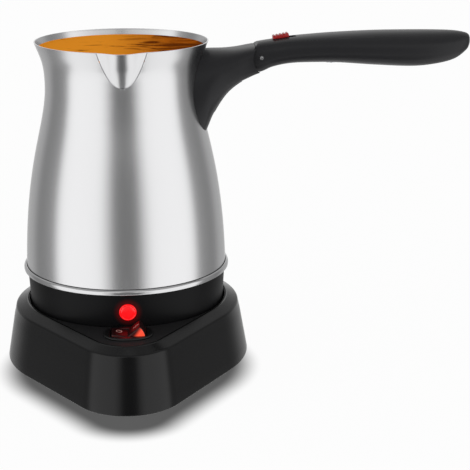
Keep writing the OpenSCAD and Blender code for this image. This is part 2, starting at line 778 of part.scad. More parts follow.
// Cup that drops over the base's tower and turns freely on it
module pot_connector() {
    color(BLACK) difference() {
        union() {
            translate([0, 0, plate_low_z]) cylinder(r = socket_out_r, h = socket_top_z - plate_low_z, $fn = round_fn);
            translate([0, 0, plate_low_z + wall_t + seat_gap]) cylinder(r = flange_r, h = 2, $fn = round_fn);
        }
        translate([0, 0, plate_low_z - 1]) cylinder(r = socket_r, h = roof_z - plate_low_z + 1, $fn = round_fn);
        translate([0, 0, plate_low_z - eps]) cylinder(r1 = socket_r + 1, r2 = socket_r, h = 1, $fn = round_fn);
        at_places(socket_out_r + 3.4, [90, 270]) translate([0, 0, plate_low_z])
            cylinder(r = screw_r + 0.15, h = 8, $fn = 24);
    }
}

module pot_contacts() {
    low_z = groove_z + 2.6 + run_gap + 0.1;
    color(BRASS) {
        for (r = groove_r) ring(r + ring_t / 2, r - ring_t / 2, low_z, roof_z - seat_gap);
        translate([0, 0, low_z]) cylinder(r = 1.5, h = roof_z - seat_gap - low_z, $fn = 32);
    }
}

module socket_screws() {
    top_z = plate_low_z + wall_t + seat_gap + 2 + 1.1;
    color(STEEL) at_places(socket_out_r + 3.4, [90, 270]) translate([0, 0, top_z])
        screw(screw_r, 4.4, head_r - 0.3, 1.1);
}

// Frame of the indicator, square to the collar's leaning wall
module at_lens() {
    translate([0, -lens_face_r + 0.15, lens_z]) rotate([90 + collar_lean, 0, 0]) children();
}

module indicator_lens() {
    color(RED) at_lens() difference() {
        union() {
            translate([0, 0, 0.2]) cylinder(r1 = lens_r, r2 = lens_r - 0.5, h = 0.85, $fn = 64);
            translate([0, 0, 1.05 - eps]) cylinder(r1 = lens_r - 0.5, r2 = lens_r - 1.7, h = 0.35, $fn = 64);
            translate([0, 0, -wall_t - 1.4]) cylinder(r = lens_r - 0.6 - seat_gap, h = wall_t + 1.7, $fn = 48);
        }
        translate([0, 0, -wall_t - 2]) cylinder(r = 2.5, h = wall_t + 1.6, $fn = 32);
    }
}

module indicator_lamp() {
    color(CREAM) at_lens() {
        translate([0, 0, -wall_t - 7]) cylinder(r = 2.45, h = wall_t + 5.6, $fn = 32);
        translate([0, 0, -1.4]) sphere(r = 0.9, $fn = 24);
    }
}

// ---------- handle ----------

// Strip along the neck's underside, from the pot to the fold slot
function neck_edge(grow) = [
    for (r = smooth(neck_stations, station_steps)) if (r[0] >= insert_from - 3 && r[0] <= insert_to + 3)
        [r[0], r[1] + grow]
];

module neck_bracket() {
    near = [for (p = wall_points) if (abs(p[1] - bracket_z) < bracket_half_h + 4) p];
    far = [for (i = [len(near) - 1:-1:0]) near[i]];
    color(STEEL) {
        // pad welded to the wall
        intersection() {
            rotate_extrude($fn = round_fn) polygon(concat(
                [for (p = near) p + [seat_gap, 0]], [for (p = far) p + [1.3, 0]]
            ));
            bar([20, -8, bracket_z - bracket_half_h], [60, 8, bracket_z + bracket_half_h]);
        }
        difference() {
            bar([waist_r - 2, -bracket_half_w, bracket_z - 1.25],
                [bracket_end, bracket_half_w, bracket_z + 1.25]);
            wall_solid(-0.6, collar_z);
            translate([bracket_hole_x, 0, bracket_z - 5]) cylinder(r = 1.7, h = 10, $fn = 32);
        }
    }
}

module bracket_screw() {
    color(STEEL) translate([bracket_hole_x, 0, bracket_head_z])
        mirror([0, 0, 1]) screw(1.5, 15, 2.9, 1.8);
}

// Space that the folding grip sweeps inside the neck: the round end of the
// mouth, as it stands when the grip hangs down, and the hanging grip's section
module fold_space() {
    intersection() {
        at_pin() side_cut(30) {
            translate([mouth_dz, -mouth_x]) circle(mouth_r + 0.1, $fn = round_fn);
            translate([mouth_dz - mouth_r - 0.1, -60]) square([2 * mouth_r + 0.2, 60 - mouth_x]);
        }
        translate([pin_x + 0.1, 0, pin_z - 70]) linear_extrude(100)
            polygon(oval(mouth_r + 0.3, fork_half_w + 0.8, 3.6, 64));
    }
}

module handle_neck() {
    color(SATIN_BLACK) {
        difference() {
            at_pin() loft(smooth(neck_stations, station_steps), loop_count);
            wall_solid(-seat_gap, collar_z);
            // mouth, and all beyond it
            at_pin() side_cut(30) {
                translate([mouth_x, mouth_dz]) circle(mouth_r, $fn = round_fn);
                translate([mouth_x, mouth_dz - 30]) square(60);
            }
            fold_space();
            neck_pocket();
        }
        tongue();
    }
}

// Room for the bracket, its screw and the insert that hides them
module neck_pocket() {
    intersection() {
        wall_solid(-1.6, collar_z);
        bar([20, -8.4, bracket_z - bracket_half_h - 0.4], [60, 8.4, bracket_z + bracket_half_h + 0.4]);
    }
    bar([waist_r - 6, -bracket_half_w - 0.3, bracket_z - 1.5],
        [bracket_end + 0.3, bracket_half_w + 0.3, bracket_z + 1.5]);
    translate([bracket_hole_x, 0, bracket_z - 1]) cylinder(r = 1.55, h = 11, $fn = 24);
    translate([bracket_hole_x, 0, bracket_z - 6]) cylinder(r = 1.7, h = 6, $fn = 24);
    translate([bracket_hole_x, 0, bracket_head_z - 16]) cylinder(r = 3.2, h = 16 + 1.8, $fn = 32);
    insert_cut(insert_half_w + 0.15, 1.9, 0.15);
}

// Piece of the neck's underside, as deep as given
module insert_cut(half_w, depth, gap) {
    at_pin() side_cut(half_w) intersection() {
        polygon(concat(neck_edge(depth), [[insert_to + 3, -60], [insert_from - 3, -60]]));
        translate([insert_from - gap, -60]) square([insert_to - insert_from + 2 * gap, 100]);
    }
}

module neck_insert() {
    color(SATIN_BLACK) intersection() {
        at_pin() translate([0, 0, -0.55]) loft(smooth(neck_stations, station_steps), loop_count);
        insert_cut(insert_half_w, 1.85, 0);
    }
}

module tongue() {
    difference() {
        at_pin() side_cut(tongue_half_t) {
            circle(knuckle_r, $fn = round_fn);
            polygon([[-13, -4.4], [-1, -3.6], [-1, 4.3], [-4, 3.9], [-13, 2.6]]);
        }
        at_pin() rotate([90, 0, 0])
            cylinder(r = pin_r + pin_gap, h = 3 * tongue_half_t, center = true, $fn = 48);
        // pockets for the bolt, open and folded
        for (turn = [0, 90]) at_pin() rotate([0, turn - slide_rise, 0])
            bar([knuckle_r - 1.5, -bolt_half_w - 0.3, bolt_low - 0.3],
                [knuckle_r + 2, bolt_half_w + 0.3, bolt_top + 0.3]);
    }
}

module grip_form() {
    at_pin() loft(smooth(grip_stations, station_steps), loop_count);
}

// Everything above the parting line, which follows the grip's top
module above_parting(drop) {
    rows = smooth(grip_stations, station_steps);
    at_pin() side_cut(30) polygon(concat(
        [for (r = rows) [r[0], r[2] - drop]],
        [[grip_l + 5, rows[len(rows) - 1][2] - drop], [grip_l + 5, 40], [-9, 40]]
    ));
}

// Outline of the grip's front end, inside the neck's mouth
module grip_front() {
    at_pin() side_cut(30) {
        translate([mouth_x, mouth_dz]) circle(mouth_r - run_gap, $fn = round_fn);
        translate([mouth_x, mouth_dz - 30]) square([grip_l + 10, 60]);
    }
}

module grip_hollow() {
    rows = [for (r = smooth(grip_stations, station_steps)) if (r[0] > 26 * k && r[0] < 92 * k)
        [r[0], r[1] + 2.4, r[2], r[3] - 2.4, r[4]]];
    at_pin() loft(rows, 24);
}

module grip_body() {
    color(SATIN_BLACK) difference() {
        intersection() {
            grip_form();
            grip_front();
        }
        above_parting(lid_t + seat_gap);
        // hollow with two screw posts left in it
        difference() {
            grip_hollow();
            for (x = grip_screw_x) at_pin() translate([x, 0, -20]) cylinder(r = 3.6, h = 25, $fn = 32);
        }
        // slot for the tongue, open in front and below
        at_pin() bar([-20, -fork_in, -30], [fork_floor, fork_in, 30]);
        // bolt's channel, with the spring's pocket at its end
        at_slide() bar([0, -bolt_half_w - run_gap, bolt_low - run_gap], [channel_end_u, bolt_half_w + run_gap, 20]);
        at_pin() rotate([90, 0, 0]) cylinder(r = pin_r + pin_gap, h = 60, center = true, $fn = 48);
        for (x = grip_screw_x) at_pin() {
            translate([x, 0, -30]) cylinder(r = 2.6, h = 30 - 2.6, $fn = 32);
            translate([x, 0, -30]) cylinder(r = screw_r + 0.15, h = 50, $fn = 24);
        }
    }
}

module grip_cover() {
    color(SATIN_BLACK) difference() {
        intersection() {
            grip_form();
            grip_front();
            union() {
                above_parting(lid_t);
                for (x = grip_screw_x) at_pin() translate([x, 0, 5.1]) cylinder(r = 3, h = 10, $fn = 32);
            }
        }
        // recess and slot of the latch button
        at_slide() {
            bar([button_u - run_gap, -button_half_w - 0.4, recess_floor],
                [button_u + button_l + latch_travel + 2 * run_gap, button_half_w + 0.4, 20]);
            bar([post_u[0] - run_gap, -2.3, 0], [post_u[1] + latch_travel + 2 * run_gap, 2.3, 20]);
        }
        for (x = grip_screw_x) at_pin() translate([x, 0, 0])
            cylinder(r = screw_r + pin_gap, h = 9, $fn = 24);
    }
}

module grip_screws() {
    color(STEEL) for (x = grip_screw_x) at_pin() translate([x, 0, -2.6 - 1])
        mirror([0, 0, 1]) screw(screw_r, 11, 2.4, 1);
}

module fold_pin() {
    reach = fork_half_w + 0.2;
    color(STEEL) at_pin() rotate([90, 0, 0]) difference() {
        cylinder(r = pin_r, h = 2 * reach, center = true, $fn = 48);
        for (s = [-1, 1]) translate([0, 0, s * reach]) cylinder(r = pin_r * 0.55, h = 1.6, center = true, $fn = 24);
    }
}

// ---------- latch ----------

module latch_button() {
    pitch = button_l / button_ribs;
    top = button_low + button_h;
    color(RED) at_slide() difference() {
        side_cut(button_half_w) translate([button_u, 0]) union() {
            polygon([[0, button_low], [button_l, button_low], [button_l, top - 0.5], [0, top - 0.9]]);
            for (i = [0:button_ribs - 1]) let (x = (i + 0.5) * pitch)
                translate([x, top - 0.9 + 0.4 * x / button_l]) circle(pitch * 0.42, $fn = 24);
        }
        bar([post_u[0] - seat_gap, -2 - seat_gap, 0], [post_u[1] + seat_gap, 2 + seat_gap, button_low + 0.6]);
    }
}

module latch_bolt() {
    color(SATIN_BLACK) at_slide() {
        bar([bolt_tip, -bolt_half_w, bolt_low], [spring_u, bolt_half_w, bolt_top]);
        bar([post_u[0], -2, bolt_top - eps], [post_u[1], 2, button_low + 0.6 - seat_gap]);
    }
}

// Coil spring between the bolt and the end of its channel
module latch_spring() {
    wire_r = 0.3;
    coil_r = 1.3;
    turns = 6;
    per_turn = 12;
    sides = 6;
    from_u = spring_u + seat_gap + wire_r;
    length = channel_end_u - seat_gap - wire_r - from_u;
    count = turns * per_turn;
    rings = [
        for (i = [0:count]) let (a = 360 * i / per_turn, u = from_u + length * i / count)
            for (j = [0:sides - 1]) let (b = 360 * j / sides, r = coil_r + wire_r * cos(b))
                [u + wire_r * sin(b), r * cos(a), (bolt_low + bolt_top) / 2 + r * sin(a)]
    ];
    walls = [
        for (i = [0:count - 1], j = [0:sides - 1]) let (
            a = i * sides + j, b = i * sides + (j + 1) % sides
        ) each [[a, b + sides, a + sides], [a, b, b + sides]]
    ];
    near_cap = [[for (j = [0:sides - 1]) sides - 1 - j]];
    far_cap = [[for (j = [0:sides - 1]) count * sides + j]];
    color(STEEL) at_slide() polyhedron(rings, concat(near_cap, walls, far_cap), convexity = 10);
}

base_shell();
base_cover();
foot_ring();
cover_screws();
base_connector();
base_contacts();
connector_screws();
switch_frame();
switch_terminals();
switch_lamp();
switch_rocker();
lead_bush();
lead_clamp();
clamp_screws();
pot_vessel();
bead_ring();
pot_collar();
collar_plate();
collar_screws();
vessel_seal();
heater_plate();
heater_tube();
thermostat();
thermal_fuse();
pot_connector();
pot_contacts();
socket_screws();
indicator_lens();
indicator_lamp();
neck_bracket();
bracket_screw();
handle_neck();
neck_insert();
grip_body();
grip_cover();
grip_screws();
fold_pin();
latch_button();
latch_bolt();
latch_spring();
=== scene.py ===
"""Looks of an electric coffee pot that stands on a corded power base.

Lengths are in millimetres in the classes below, and turn to metres where a
mesh is made.  The origin is on the pot's axis, in the plane that the foot
ring rests on.  +X points along the handle, -Y to the spout, +Z up.
"""

import logging
import math
from dataclasses import dataclass, field
from enum import Enum
from typing import Any, Sequence

import bmesh
import bpy
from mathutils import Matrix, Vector

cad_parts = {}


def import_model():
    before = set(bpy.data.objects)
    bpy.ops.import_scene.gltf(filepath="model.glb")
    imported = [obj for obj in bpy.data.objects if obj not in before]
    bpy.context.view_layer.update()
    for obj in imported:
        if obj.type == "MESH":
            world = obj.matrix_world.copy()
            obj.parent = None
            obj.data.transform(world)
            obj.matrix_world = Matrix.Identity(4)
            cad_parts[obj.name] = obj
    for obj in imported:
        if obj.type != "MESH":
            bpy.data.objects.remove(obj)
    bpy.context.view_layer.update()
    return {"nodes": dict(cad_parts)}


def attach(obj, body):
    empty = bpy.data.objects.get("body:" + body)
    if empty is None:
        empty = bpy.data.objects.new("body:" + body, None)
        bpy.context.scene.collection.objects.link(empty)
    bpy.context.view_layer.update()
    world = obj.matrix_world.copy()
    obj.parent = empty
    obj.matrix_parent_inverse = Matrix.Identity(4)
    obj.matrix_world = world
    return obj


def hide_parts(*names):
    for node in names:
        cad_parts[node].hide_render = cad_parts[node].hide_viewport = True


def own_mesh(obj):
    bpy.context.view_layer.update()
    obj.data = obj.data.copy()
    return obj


LOG = logging.getLogger("coffee_pot")
MM = 0.001
Point = tuple[float, float, float]
Flat = tuple[float, float]
Section = list[Point]


class Body(Enum):
    """Bodies of the frame that the pieces ride on."""

    BASE = "base"
    ROCKER = "rocker"
    POT = "pot"
    GRIP = "grip"
    LATCH = "latch"


class Join(Enum):
    """Ways in which one solid meets another."""

    CUT = "DIFFERENCE"
    ADD = "UNION"
    KEEP = "INTERSECT"


# ---------------------------------------------------------------- curves


def mix(a: float, b: float, t: float) -> float:
    """Returns the value at t on the way from a to b."""
    return a + (b - a) * t


def bezier(points: Sequence[Flat], t: float) -> Flat:
    """Finds a point on a cubic curve.

    Args:
        points: Four control points.
        t: Place on the curve, from 0 to 1.

    Returns:
        The point.
    """
    weights = ((1 - t) ** 3, 3 * t * (1 - t) ** 2, 3 * t * t * (1 - t), t ** 3)
    return (
        sum(w * p[0] for w, p in zip(weights, points)),
        sum(w * p[1] for w, p in zip(weights, points)),
    )


def smooth_rows(rows: Sequence[Sequence[float]], steps: int) -> list[list[float]]:
    """Runs a smooth curve through rows of numbers.

    Args:
        rows: Rows of the same length.
        steps: Rows to make for each given one.

    Returns:
        The rows of the curve.
    """
    last = len(rows) - 1
    made = []
    for i in range(last):
        a, b, c, d = (rows[min(max(n, 0), last)] for n in (i - 1, i, i + 1, i + 2))
        for j in range(steps):
            t = j / steps
            made.append([
                0.5 * (
                    2 * q + (r - p) * t + (2 * p - 5 * q + 4 * r - s) * t * t
                    + (3 * q - p - 3 * r + s) * t ** 3
                )
                for p, q, r, s in zip(a, b, c, d)
            ])
    return made + [list(rows[last])]


def oval(half_w: float, half_h: float, square: float, count: int) -> list[Flat]:
    """Draws an oval.

    Args:
        half_w: Half of its width.
        half_h: Half of its height.
        square: Squareness, where 2 is an ellipse.
        count: Number of points.

    Returns:
        Its points, anticlockwise.
    """
    made = []
    for i in range(count):
        angle = 2 * math.pi * (i + 0.5) / count
        c, s = math.cos(angle), math.sin(angle)
        made.append((
            half_w * math.copysign(abs(c) ** (2 / square), c),
            half_h * math.copysign(abs(s) ** (2 / square), s),
        ))
    return made


def arc(centre: Flat, radius: float, first: float, last: float, steps: int) -> list[Flat]:
    """Draws an arc.

    Args:
        centre: Its centre.
        radius: Its radius.
        first: Angle of its first point, in degrees.
        last: Angle of its last point.
        steps: Number of steps between them.

    Returns:
        Its points.
    """
    angles = (math.radians(mix(first, last, i / steps)) for i in range(steps + 1))
    return [(centre[0] + radius * math.cos(a), centre[1] + radius * math.sin(a)) for a in angles]


def circle(centre: Flat, radius: float, count: int) -> list[Flat]:
    """Draws a circle.

    Args:
        centre: Its centre.
        radius: Its radius.
        count: Number of points.

    Returns:
        Its points, anticlockwise from the right.
    """
    return arc(centre, radius, 0, 360 - 360 / count, count - 1)


def between(start: Flat, end: Flat, steps: int) -> list[Flat]:
    """Returns the points that part a straight way into equal steps, without its two ends."""
    shares = (i / steps for i in range(1, steps))
    return [(mix(start[0], end[0], t), mix(start[1], end[1], t)) for t in shares]


def level(section: Section, z: float, scale: float = 1.0) -> Section:
    """Returns a section at another height, drawn in towards the pot's axis by a scale."""
    return [(x * scale, y * scale, z) for x, y, _ in section]


def drop(back: float, nose: float, nose_at: float, z: float) -> Section:
    """Draws a round back joined to a round nose by two straight sides.

    Args:
        back: Radius of the back, round the pot's axis.
        nose: Radius of the nose.
        nose_at: Distance from the pot's axis to the nose's centre.
        z: Height of the outline.

    Returns:
        Its points, always the same number of them.
    """
    lean = math.degrees(math.asin((back - nose) / nose_at))
    back_steps, nose_steps, side_steps = 168, 108, 16
    rear = arc((0, 0), back, -lean, 180 + lean, back_steps)
    front = arc((0, -nose_at), nose, 180 + lean, 360 - lean, nose_steps)
    left = between(rear[-1], front[0], side_steps)
    right = between(front[-1], rear[0], side_steps)
    return [(x, y, z) for x, y in rear + left + front + right]


# ---------------------------------------------------------------- workshop


def select_only(*pieces: bpy.types.Object) -> None:
    """Leaves edit mode and selects the given pieces alone, the first as the active one."""
    active = bpy.context.view_layer.objects.active
    if active and active.mode != "OBJECT":
        bpy.ops.object.mode_set(mode="OBJECT")
    bpy.ops.object.select_all(action="DESELECT")
    for piece in pieces:
        piece.select_set(True)
    if pieces:
        bpy.context.view_layer.objects.active = pieces[0]


def start_loop(name: str, points: Sequence[Point]) -> bpy.types.Object:
    """Adds a circle and pulls it to a closed outline.

    Args:
        name: Name of the piece.
        points: The outline, in millimetres.

    Returns:
        The piece, in edit mode with the outline selected.
    """
    select_only()
    bpy.ops.mesh.primitive_circle_add(vertices=len(points), radius=MM)
    piece = bpy.context.object
    piece.name = piece.data.name = name
    bpy.ops.object.mode_set(mode="EDIT")
    bpy.ops.mesh.select_mode(type="VERT")
    bpy.ops.mesh.select_all(action="SELECT")
    mesh = bmesh.from_edit_mesh(piece.data)
    column = mesh.verts.layers.int.new("column")
    mesh.verts.ensure_lookup_table()
    for i, point in enumerate(points):
        mesh.verts[i][column] = i
        mesh.verts[i].co = Vector(point) * MM
    bmesh.update_edit_mesh(piece.data)
    return piece


def finish_mesh(piece: bpy.types.Object) -> bpy.types.Object:
    """Merges doubled points, turns the faces outwards and leaves edit mode.

    Args:
        piece: A piece in edit mode.

    Returns:
        The piece.
    """
    bpy.ops.mesh.select_all(action="SELECT")
    bpy.ops.mesh.remove_doubles(threshold=1e-7)
    bpy.ops.mesh.select_all(action="SELECT")
    bpy.ops.mesh.normals_make_consistent(inside=False)
    bpy.ops.object.mode_set(mode="OBJECT")
    for layer in [a.name for a in piece.data.attributes if a.name == "column"]:
        piece.data.attributes.remove(piece.data.attributes[layer])
    return piece


def skin(name: str, sections: Sequence[Section], endless: bool = False) -> bpy.types.Object:
    """Extrudes an outline from section to section.

    Args:
        name: Name of the piece.
        sections: Closed outlines with the same number of points.
        endless: Joins the last section to the first instead of closing both.

    Returns:
        The closed piece.
    """
    piece = start_loop(name, sections[0])
    for section in sections[1:]:
        bpy.ops.mesh.extrude_region_move()
        mesh = bmesh.from_edit_mesh(piece.data)
        column = mesh.verts.layers.int["column"]
        for vertex in mesh.verts:
            if vertex.select:
                vertex.co = Vector(section[vertex[column]]) * MM
        bmesh.update_edit_mesh(piece.data)
    if not endless:
        bpy.ops.mesh.edge_face_add()
        bpy.ops.mesh.select_all(action="DESELECT")
    bpy.ops.mesh.select_non_manifold()
    if endless:
        bpy.ops.mesh.bridge_edge_loops()
    else:
        bpy.ops.mesh.edge_face_add()
    return finish_mesh(piece)


def lathe(name: str, profile: Sequence[Flat], steps: int, about: Flat = (0, 0)) -> bpy.types.Object:
    """Spins a closed profile about an upright axis.

    Args:
        name: Name of the piece.
        profile: Its outline, as distance from the axis and height.
        steps: Number of steps round the axis.
        about: Place of the axis.

    Returns:
        The turned piece.
    """
    piece = start_loop(name, [(about[0] + r, about[1], z) for r, z in profile])
    bpy.ops.mesh.spin(
        steps=steps, angle=2 * math.pi, use_auto_merge=True,
        center=(about[0] * MM, about[1] * MM, 0), axis=(0, 0, 1),
    )
    return finish_mesh(piece)


def slab(name: str, outline: Sequence[Point], push: Point) -> bpy.types.Object:
    """Fills a flat outline and extrudes it.

    Args:
        name: Name of the piece.
        outline: Its points.
        push: How far, and in which direction, it is extruded.

    Returns:
        The piece.
    """
    piece = start_loop(name, outline)
    bpy.ops.mesh.edge_face_add()
    way = tuple(v * MM for v in push)
    bpy.ops.mesh.extrude_region_move(TRANSFORM_OT_translate={"value": way})
    return finish_mesh(piece)


def block(name: str, low: Point, high: Point) -> bpy.types.Object:
    """Extrudes an upright block between two corners, for cutting."""
    (x, y, z), (u, v, w) = low, high
    return slab(name, [(x, y, z), (u, y, z), (u, v, z), (x, v, z)], (0, 0, w - z))


def apply_last(piece: bpy.types.Object) -> None:
    """Applies the piece's last modifier."""
    select_only(piece)
    bpy.ops.object.modifier_apply(modifier=piece.modifiers[-1].name)


def meet(piece: bpy.types.Object, how: Join, *tools: bpy.types.Object) -> bpy.types.Object:
    """Cuts, joins or trims a piece with others, which are used up.

    Args:
        piece: The piece that stays.
        how: What is done to it.
        tools: The solids that it meets.

    Returns:
        The piece.
    """
    for tool in tools:
        change = piece.modifiers.new("meet", "BOOLEAN")
        change.operation = how.value
        change.solver = "EXACT"
        change.object = tool
        apply_last(piece)
        bpy.data.meshes.remove(tool.data)
    return piece


def twin(piece: bpy.types.Object, name: str) -> bpy.types.Object:
    """Copies a piece with a mesh of its own."""
    select_only(piece)
    bpy.ops.object.duplicate(linked=False)
    copy = bpy.context.object
    copy.name = copy.data.name = name
    return copy


def soften(
    piece: bpy.types.Object, width: float, segments: int, angle: float,
) -> bpy.types.Object:
    """Rounds the edges of a piece.

    Args:
        piece: The piece.
        width: Width of the rounding, in millimetres.
        segments: Faces across it.
        angle: Edges sharper than this many degrees are rounded.

    Returns:
        The piece.
    """
    change = piece.modifiers.new("soften", "BEVEL")
    change.width = width * MM
    change.segments = segments
    change.limit_method = "ANGLE"
    change.angle_limit = math.radians(angle)
    apply_last(piece)
    return piece


def shade(piece: bpy.types.Object, angle: float = 32) -> None:
    """Shades a piece smooth, except across edges sharper than the angle."""
    select_only(piece)
    bpy.ops.object.shade_smooth_by_angle(angle=math.radians(angle))


# ---------------------------------------------------------------- finishes


def linear(colour: str) -> tuple[float, float, float, float]:
    """Turns an sRGB hex colour to a linear one.

    Args:
        colour: The colour, such as "#c0c0c0".

    Returns:
        Red, green, blue and alpha.
    """
    parts = (int(colour[i:i + 2], 16) / 255 for i in (1, 3, 5))
    red, green, blue = (
        v / 12.92 if v <= 0.04045 else ((v + 0.055) / 1.055) ** 2.4 for v in parts
    )
    return red, green, blue, 1.0


def add_node(
    tree: bpy.types.NodeTree,
    kind: str,
    settings: dict[str, Any] | None = None,
    inputs: dict[str | int, Any] | None = None,
) -> bpy.types.Node:
    """Adds a node.

    Args:
        tree: Tree that it goes into.
        kind: Its type.
        settings: Its own properties.
        inputs: Values of its sockets, or the output sockets that feed them.

    Returns:
        The node.
    """
    node = tree.nodes.new(kind)
    for name, value in (settings or {}).items():
        setattr(node, name, value)
    for name, value in (inputs or {}).items():
        if isinstance(value, bpy.types.NodeSocket):
            tree.links.new(value, node.inputs[name])
        else:
            node.inputs[name].default_value = value
    return node


def sums(
    tree: bpy.types.NodeTree, operation: str, a: Any, b: Any = 0.0, clamp: bool = False,
) -> bpy.types.NodeSocket:
    """Adds a sum of two values, kept between 0 and 1 on demand."""
    settings = {"operation": operation, "use_clamp": clamp}
    return add_node(tree, "ShaderNodeMath", settings, {0: a, 1: b}).outputs[0]


def blend(tree: bpy.types.NodeTree, share: Any, first: Any, second: Any) -> bpy.types.NodeSocket:
    """Adds a blend of two colours, with the second one's share."""
    return add_node(tree, "ShaderNodeMix", {"data_type": "RGBA"}, {
        0: share, 6: first, 7: second,
    }).outputs[2]


def ease(
    tree: bpy.types.NodeTree, value: Any, start: float, end: float,
    low: float = 0.0, high: float = 1.0,
) -> bpy.types.NodeSocket:
    """Adds a smooth step from low, where the value is at the start, to high at the end."""
    return add_node(tree, "ShaderNodeMapRange", {"interpolation_type": "SMOOTHSTEP"}, {
        "Value": value, "From Min": start, "From Max": end, "To Min": low, "To Max": high,
    }).outputs["Result"]


def set_stops(ramp: bpy.types.Node, stops: Sequence[tuple[float, Any]]) -> bpy.types.Node:
    """Sets a colour ramp's stops.

    Args:
        ramp: The node.
        stops: Places from 0 to 1, each with a grey value or a linear colour.

    Returns:
        The node.
    """
    elements = ramp.color_ramp.elements
    while len(elements) < len(stops):
        elements.new(0.5)
    for element, (place, value) in zip(elements, stops):
        element.position = place
        element.color = value if isinstance(value, tuple) else (value, value, value, 1)
    return ramp


@dataclass(frozen=True)
class Finish:
    """A material with a fine random surface.

    Attributes:
        name: What the real material is.
        slot: Material slot of the record, which nothing in the script uses.
        colour: Its colour.
        roughness: Its middle roughness.
        metallic: 1 for a metal.
        ior: Index of refraction.
        grain: Size of its surface pattern, in millimetres.
        stretch: How the pattern is squeezed along x, y and z.
        relief: Depth of the pattern, in millimetres.
        uneven: How much the roughness varies.
        tint: How much the colour varies.
        specular: Level of its gloss.
    """

    name: str
    slot: str
    colour: str
    roughness: float
    metallic: float = 0.0
    ior: float = 1.5
    grain: float = 0.6
    stretch: Point = (1, 1, 1)
    relief: float = 0.01
    uneven: float = 0.08
    tint: float = 0.1
    specular: float = 0.5

    def place(self, tree: bpy.types.NodeTree) -> bpy.types.NodeSocket:
        """Returns the place on the piece, in grains of the pattern."""
        where = add_node(tree, "ShaderNodeTexCoord")
        size = [s / (self.grain * MM) for s in self.stretch]
        return add_node(tree, "ShaderNodeMapping", None, {
            "Vector": where.outputs["Object"], "Scale": size,
        }).outputs["Vector"]

    def pattern(self, tree: bpy.types.NodeTree) -> bpy.types.NodeSocket:
        """Returns the height of the surface pattern, from 0 to 1."""
        return add_node(tree, "ShaderNodeTexNoise", None, {
            "Vector": self.place(tree), "Scale": 1.0, "Detail": 3.0, "Roughness": 0.55,
        }).outputs["Fac"]

    def shader(self, tree: bpy.types.NodeTree) -> bpy.types.Node:
        """Adds the surface shader with its colour, roughness and relief.

        Args:
            tree: The material's tree.

        Returns:
            The shader node.
        """
        height = self.pattern(tree)
        rough = add_node(tree, "ShaderNodeMapRange", None, {
            "Value": height,
            "To Min": self.roughness - self.uneven, "To Max": self.roughness + self.uneven,
        })
        base = linear(self.colour)
        darker = tuple(c * (1 - self.tint) for c in base[:3]) + (1,)
        lighter = tuple(min(1, c * (1 + self.tint)) for c in base[:3]) + (1,)
        bump = add_node(tree, "ShaderNodeBump", None, {
            "Height": height, "Strength": 0.6, "Distance": self.relief * MM,
        })
        return add_node(tree, "ShaderNodeBsdfPrincipled", None, {
            "Base Color": blend(tree, height, darker, lighter), "Metallic": self.metallic,
            "Roughness": rough.outputs["Result"], "Normal": bump.outputs["Normal"],
            "IOR": self.ior, "Specular IOR Level": self.specular,
        })

    def build(self) -> bpy.types.Material:
        """Makes the material, once.

        Returns:
            The material.
        """
        if self.name in bpy.data.materials:
            return bpy.data.materials[self.name]
        made = bpy.data.materials.new(self.name)
        made.use_nodes = True
        tree = made.node_tree
        tree.nodes.clear()
        surface = self.shader(tree)
        add_node(tree, "ShaderNodeOutputMaterial", None, {"Surface": surface.outputs[0]})
        made.diffuse_color = linear(self.colour)
        made.roughness = self.roughness
        made.metallic = self.metallic
        return made


@dataclass(frozen=True)
class Metal(Finish):
    """A bare or plated metal."""

    metallic: float = 1.0


@dataclass(frozen=True)
class BrushedSteel(Metal):
    """Stainless sheet that was drawn and then brushed up and down."""

    anisotropy: float = 0.25

    def shader(self, tree: bpy.types.NodeTree) -> bpy.types.Node:
        """Adds the shader, with highlights drawn out across the brush lines."""
        surface = super().shader(tree)
        tangent = add_node(tree, "ShaderNodeTangent", {"direction_type": "RADIAL", "axis": "Z"})
        tree.links.new(tangent.outputs["Tangent"], surface.inputs["Tangent"])
        surface.inputs["Anisotropic"].default_value = self.anisotropy
        return surface


@dataclass(frozen=True)
class LitPlastic(Finish):
    """Plastic that gives off light: clear plastic with a lamp behind it, or plastic with a glow
    painted round a lamp.

    Attributes:
        glow: Colour of the light.
        strength: Its strength.
        centre: Point that its fading is measured from, in millimetres.
        reach: Distance at which the light has faded, in millimetres.
        core: Distance at which it is full, in millimetres.
        heading: Direction that the distance is taken along, or all zero for every direction.
    """

    glow: str = "#ff2020"
    strength: float = 1.0
    centre: Point = (0, 0, 0)
    reach: float = 4.0
    core: float = 3.0
    heading: Point = (0, 0, 0)

    def shader(self, tree: bpy.types.NodeTree) -> bpy.types.Node:
        """Adds the shader, whose light fades with the distance from its middle."""
        surface = super().shader(tree)
        where = add_node(tree, "ShaderNodeTexCoord")
        away = add_node(tree, "ShaderNodeVectorMath", {"operation": "SUBTRACT"}, {
            0: where.outputs["Object"], 1: [v * MM for v in self.centre],
        })
        if any(self.heading):
            far = add_node(tree, "ShaderNodeVectorMath", {"operation": "DOT_PRODUCT"}, {
                0: away.outputs["Vector"], 1: self.heading,
            })
        else:
            far = add_node(tree, "ShaderNodeVectorMath", {"operation": "LENGTH"}, {
                0: away.outputs["Vector"],
            })
        core, reach = self.core * MM, self.reach * MM
        light = ease(tree, far.outputs["Value"], core, reach, self.strength, 0.0)
        surface.inputs["Emission Color"].default_value = linear(self.glow)
        tree.links.new(light, surface.inputs["Emission Strength"])
        return surface


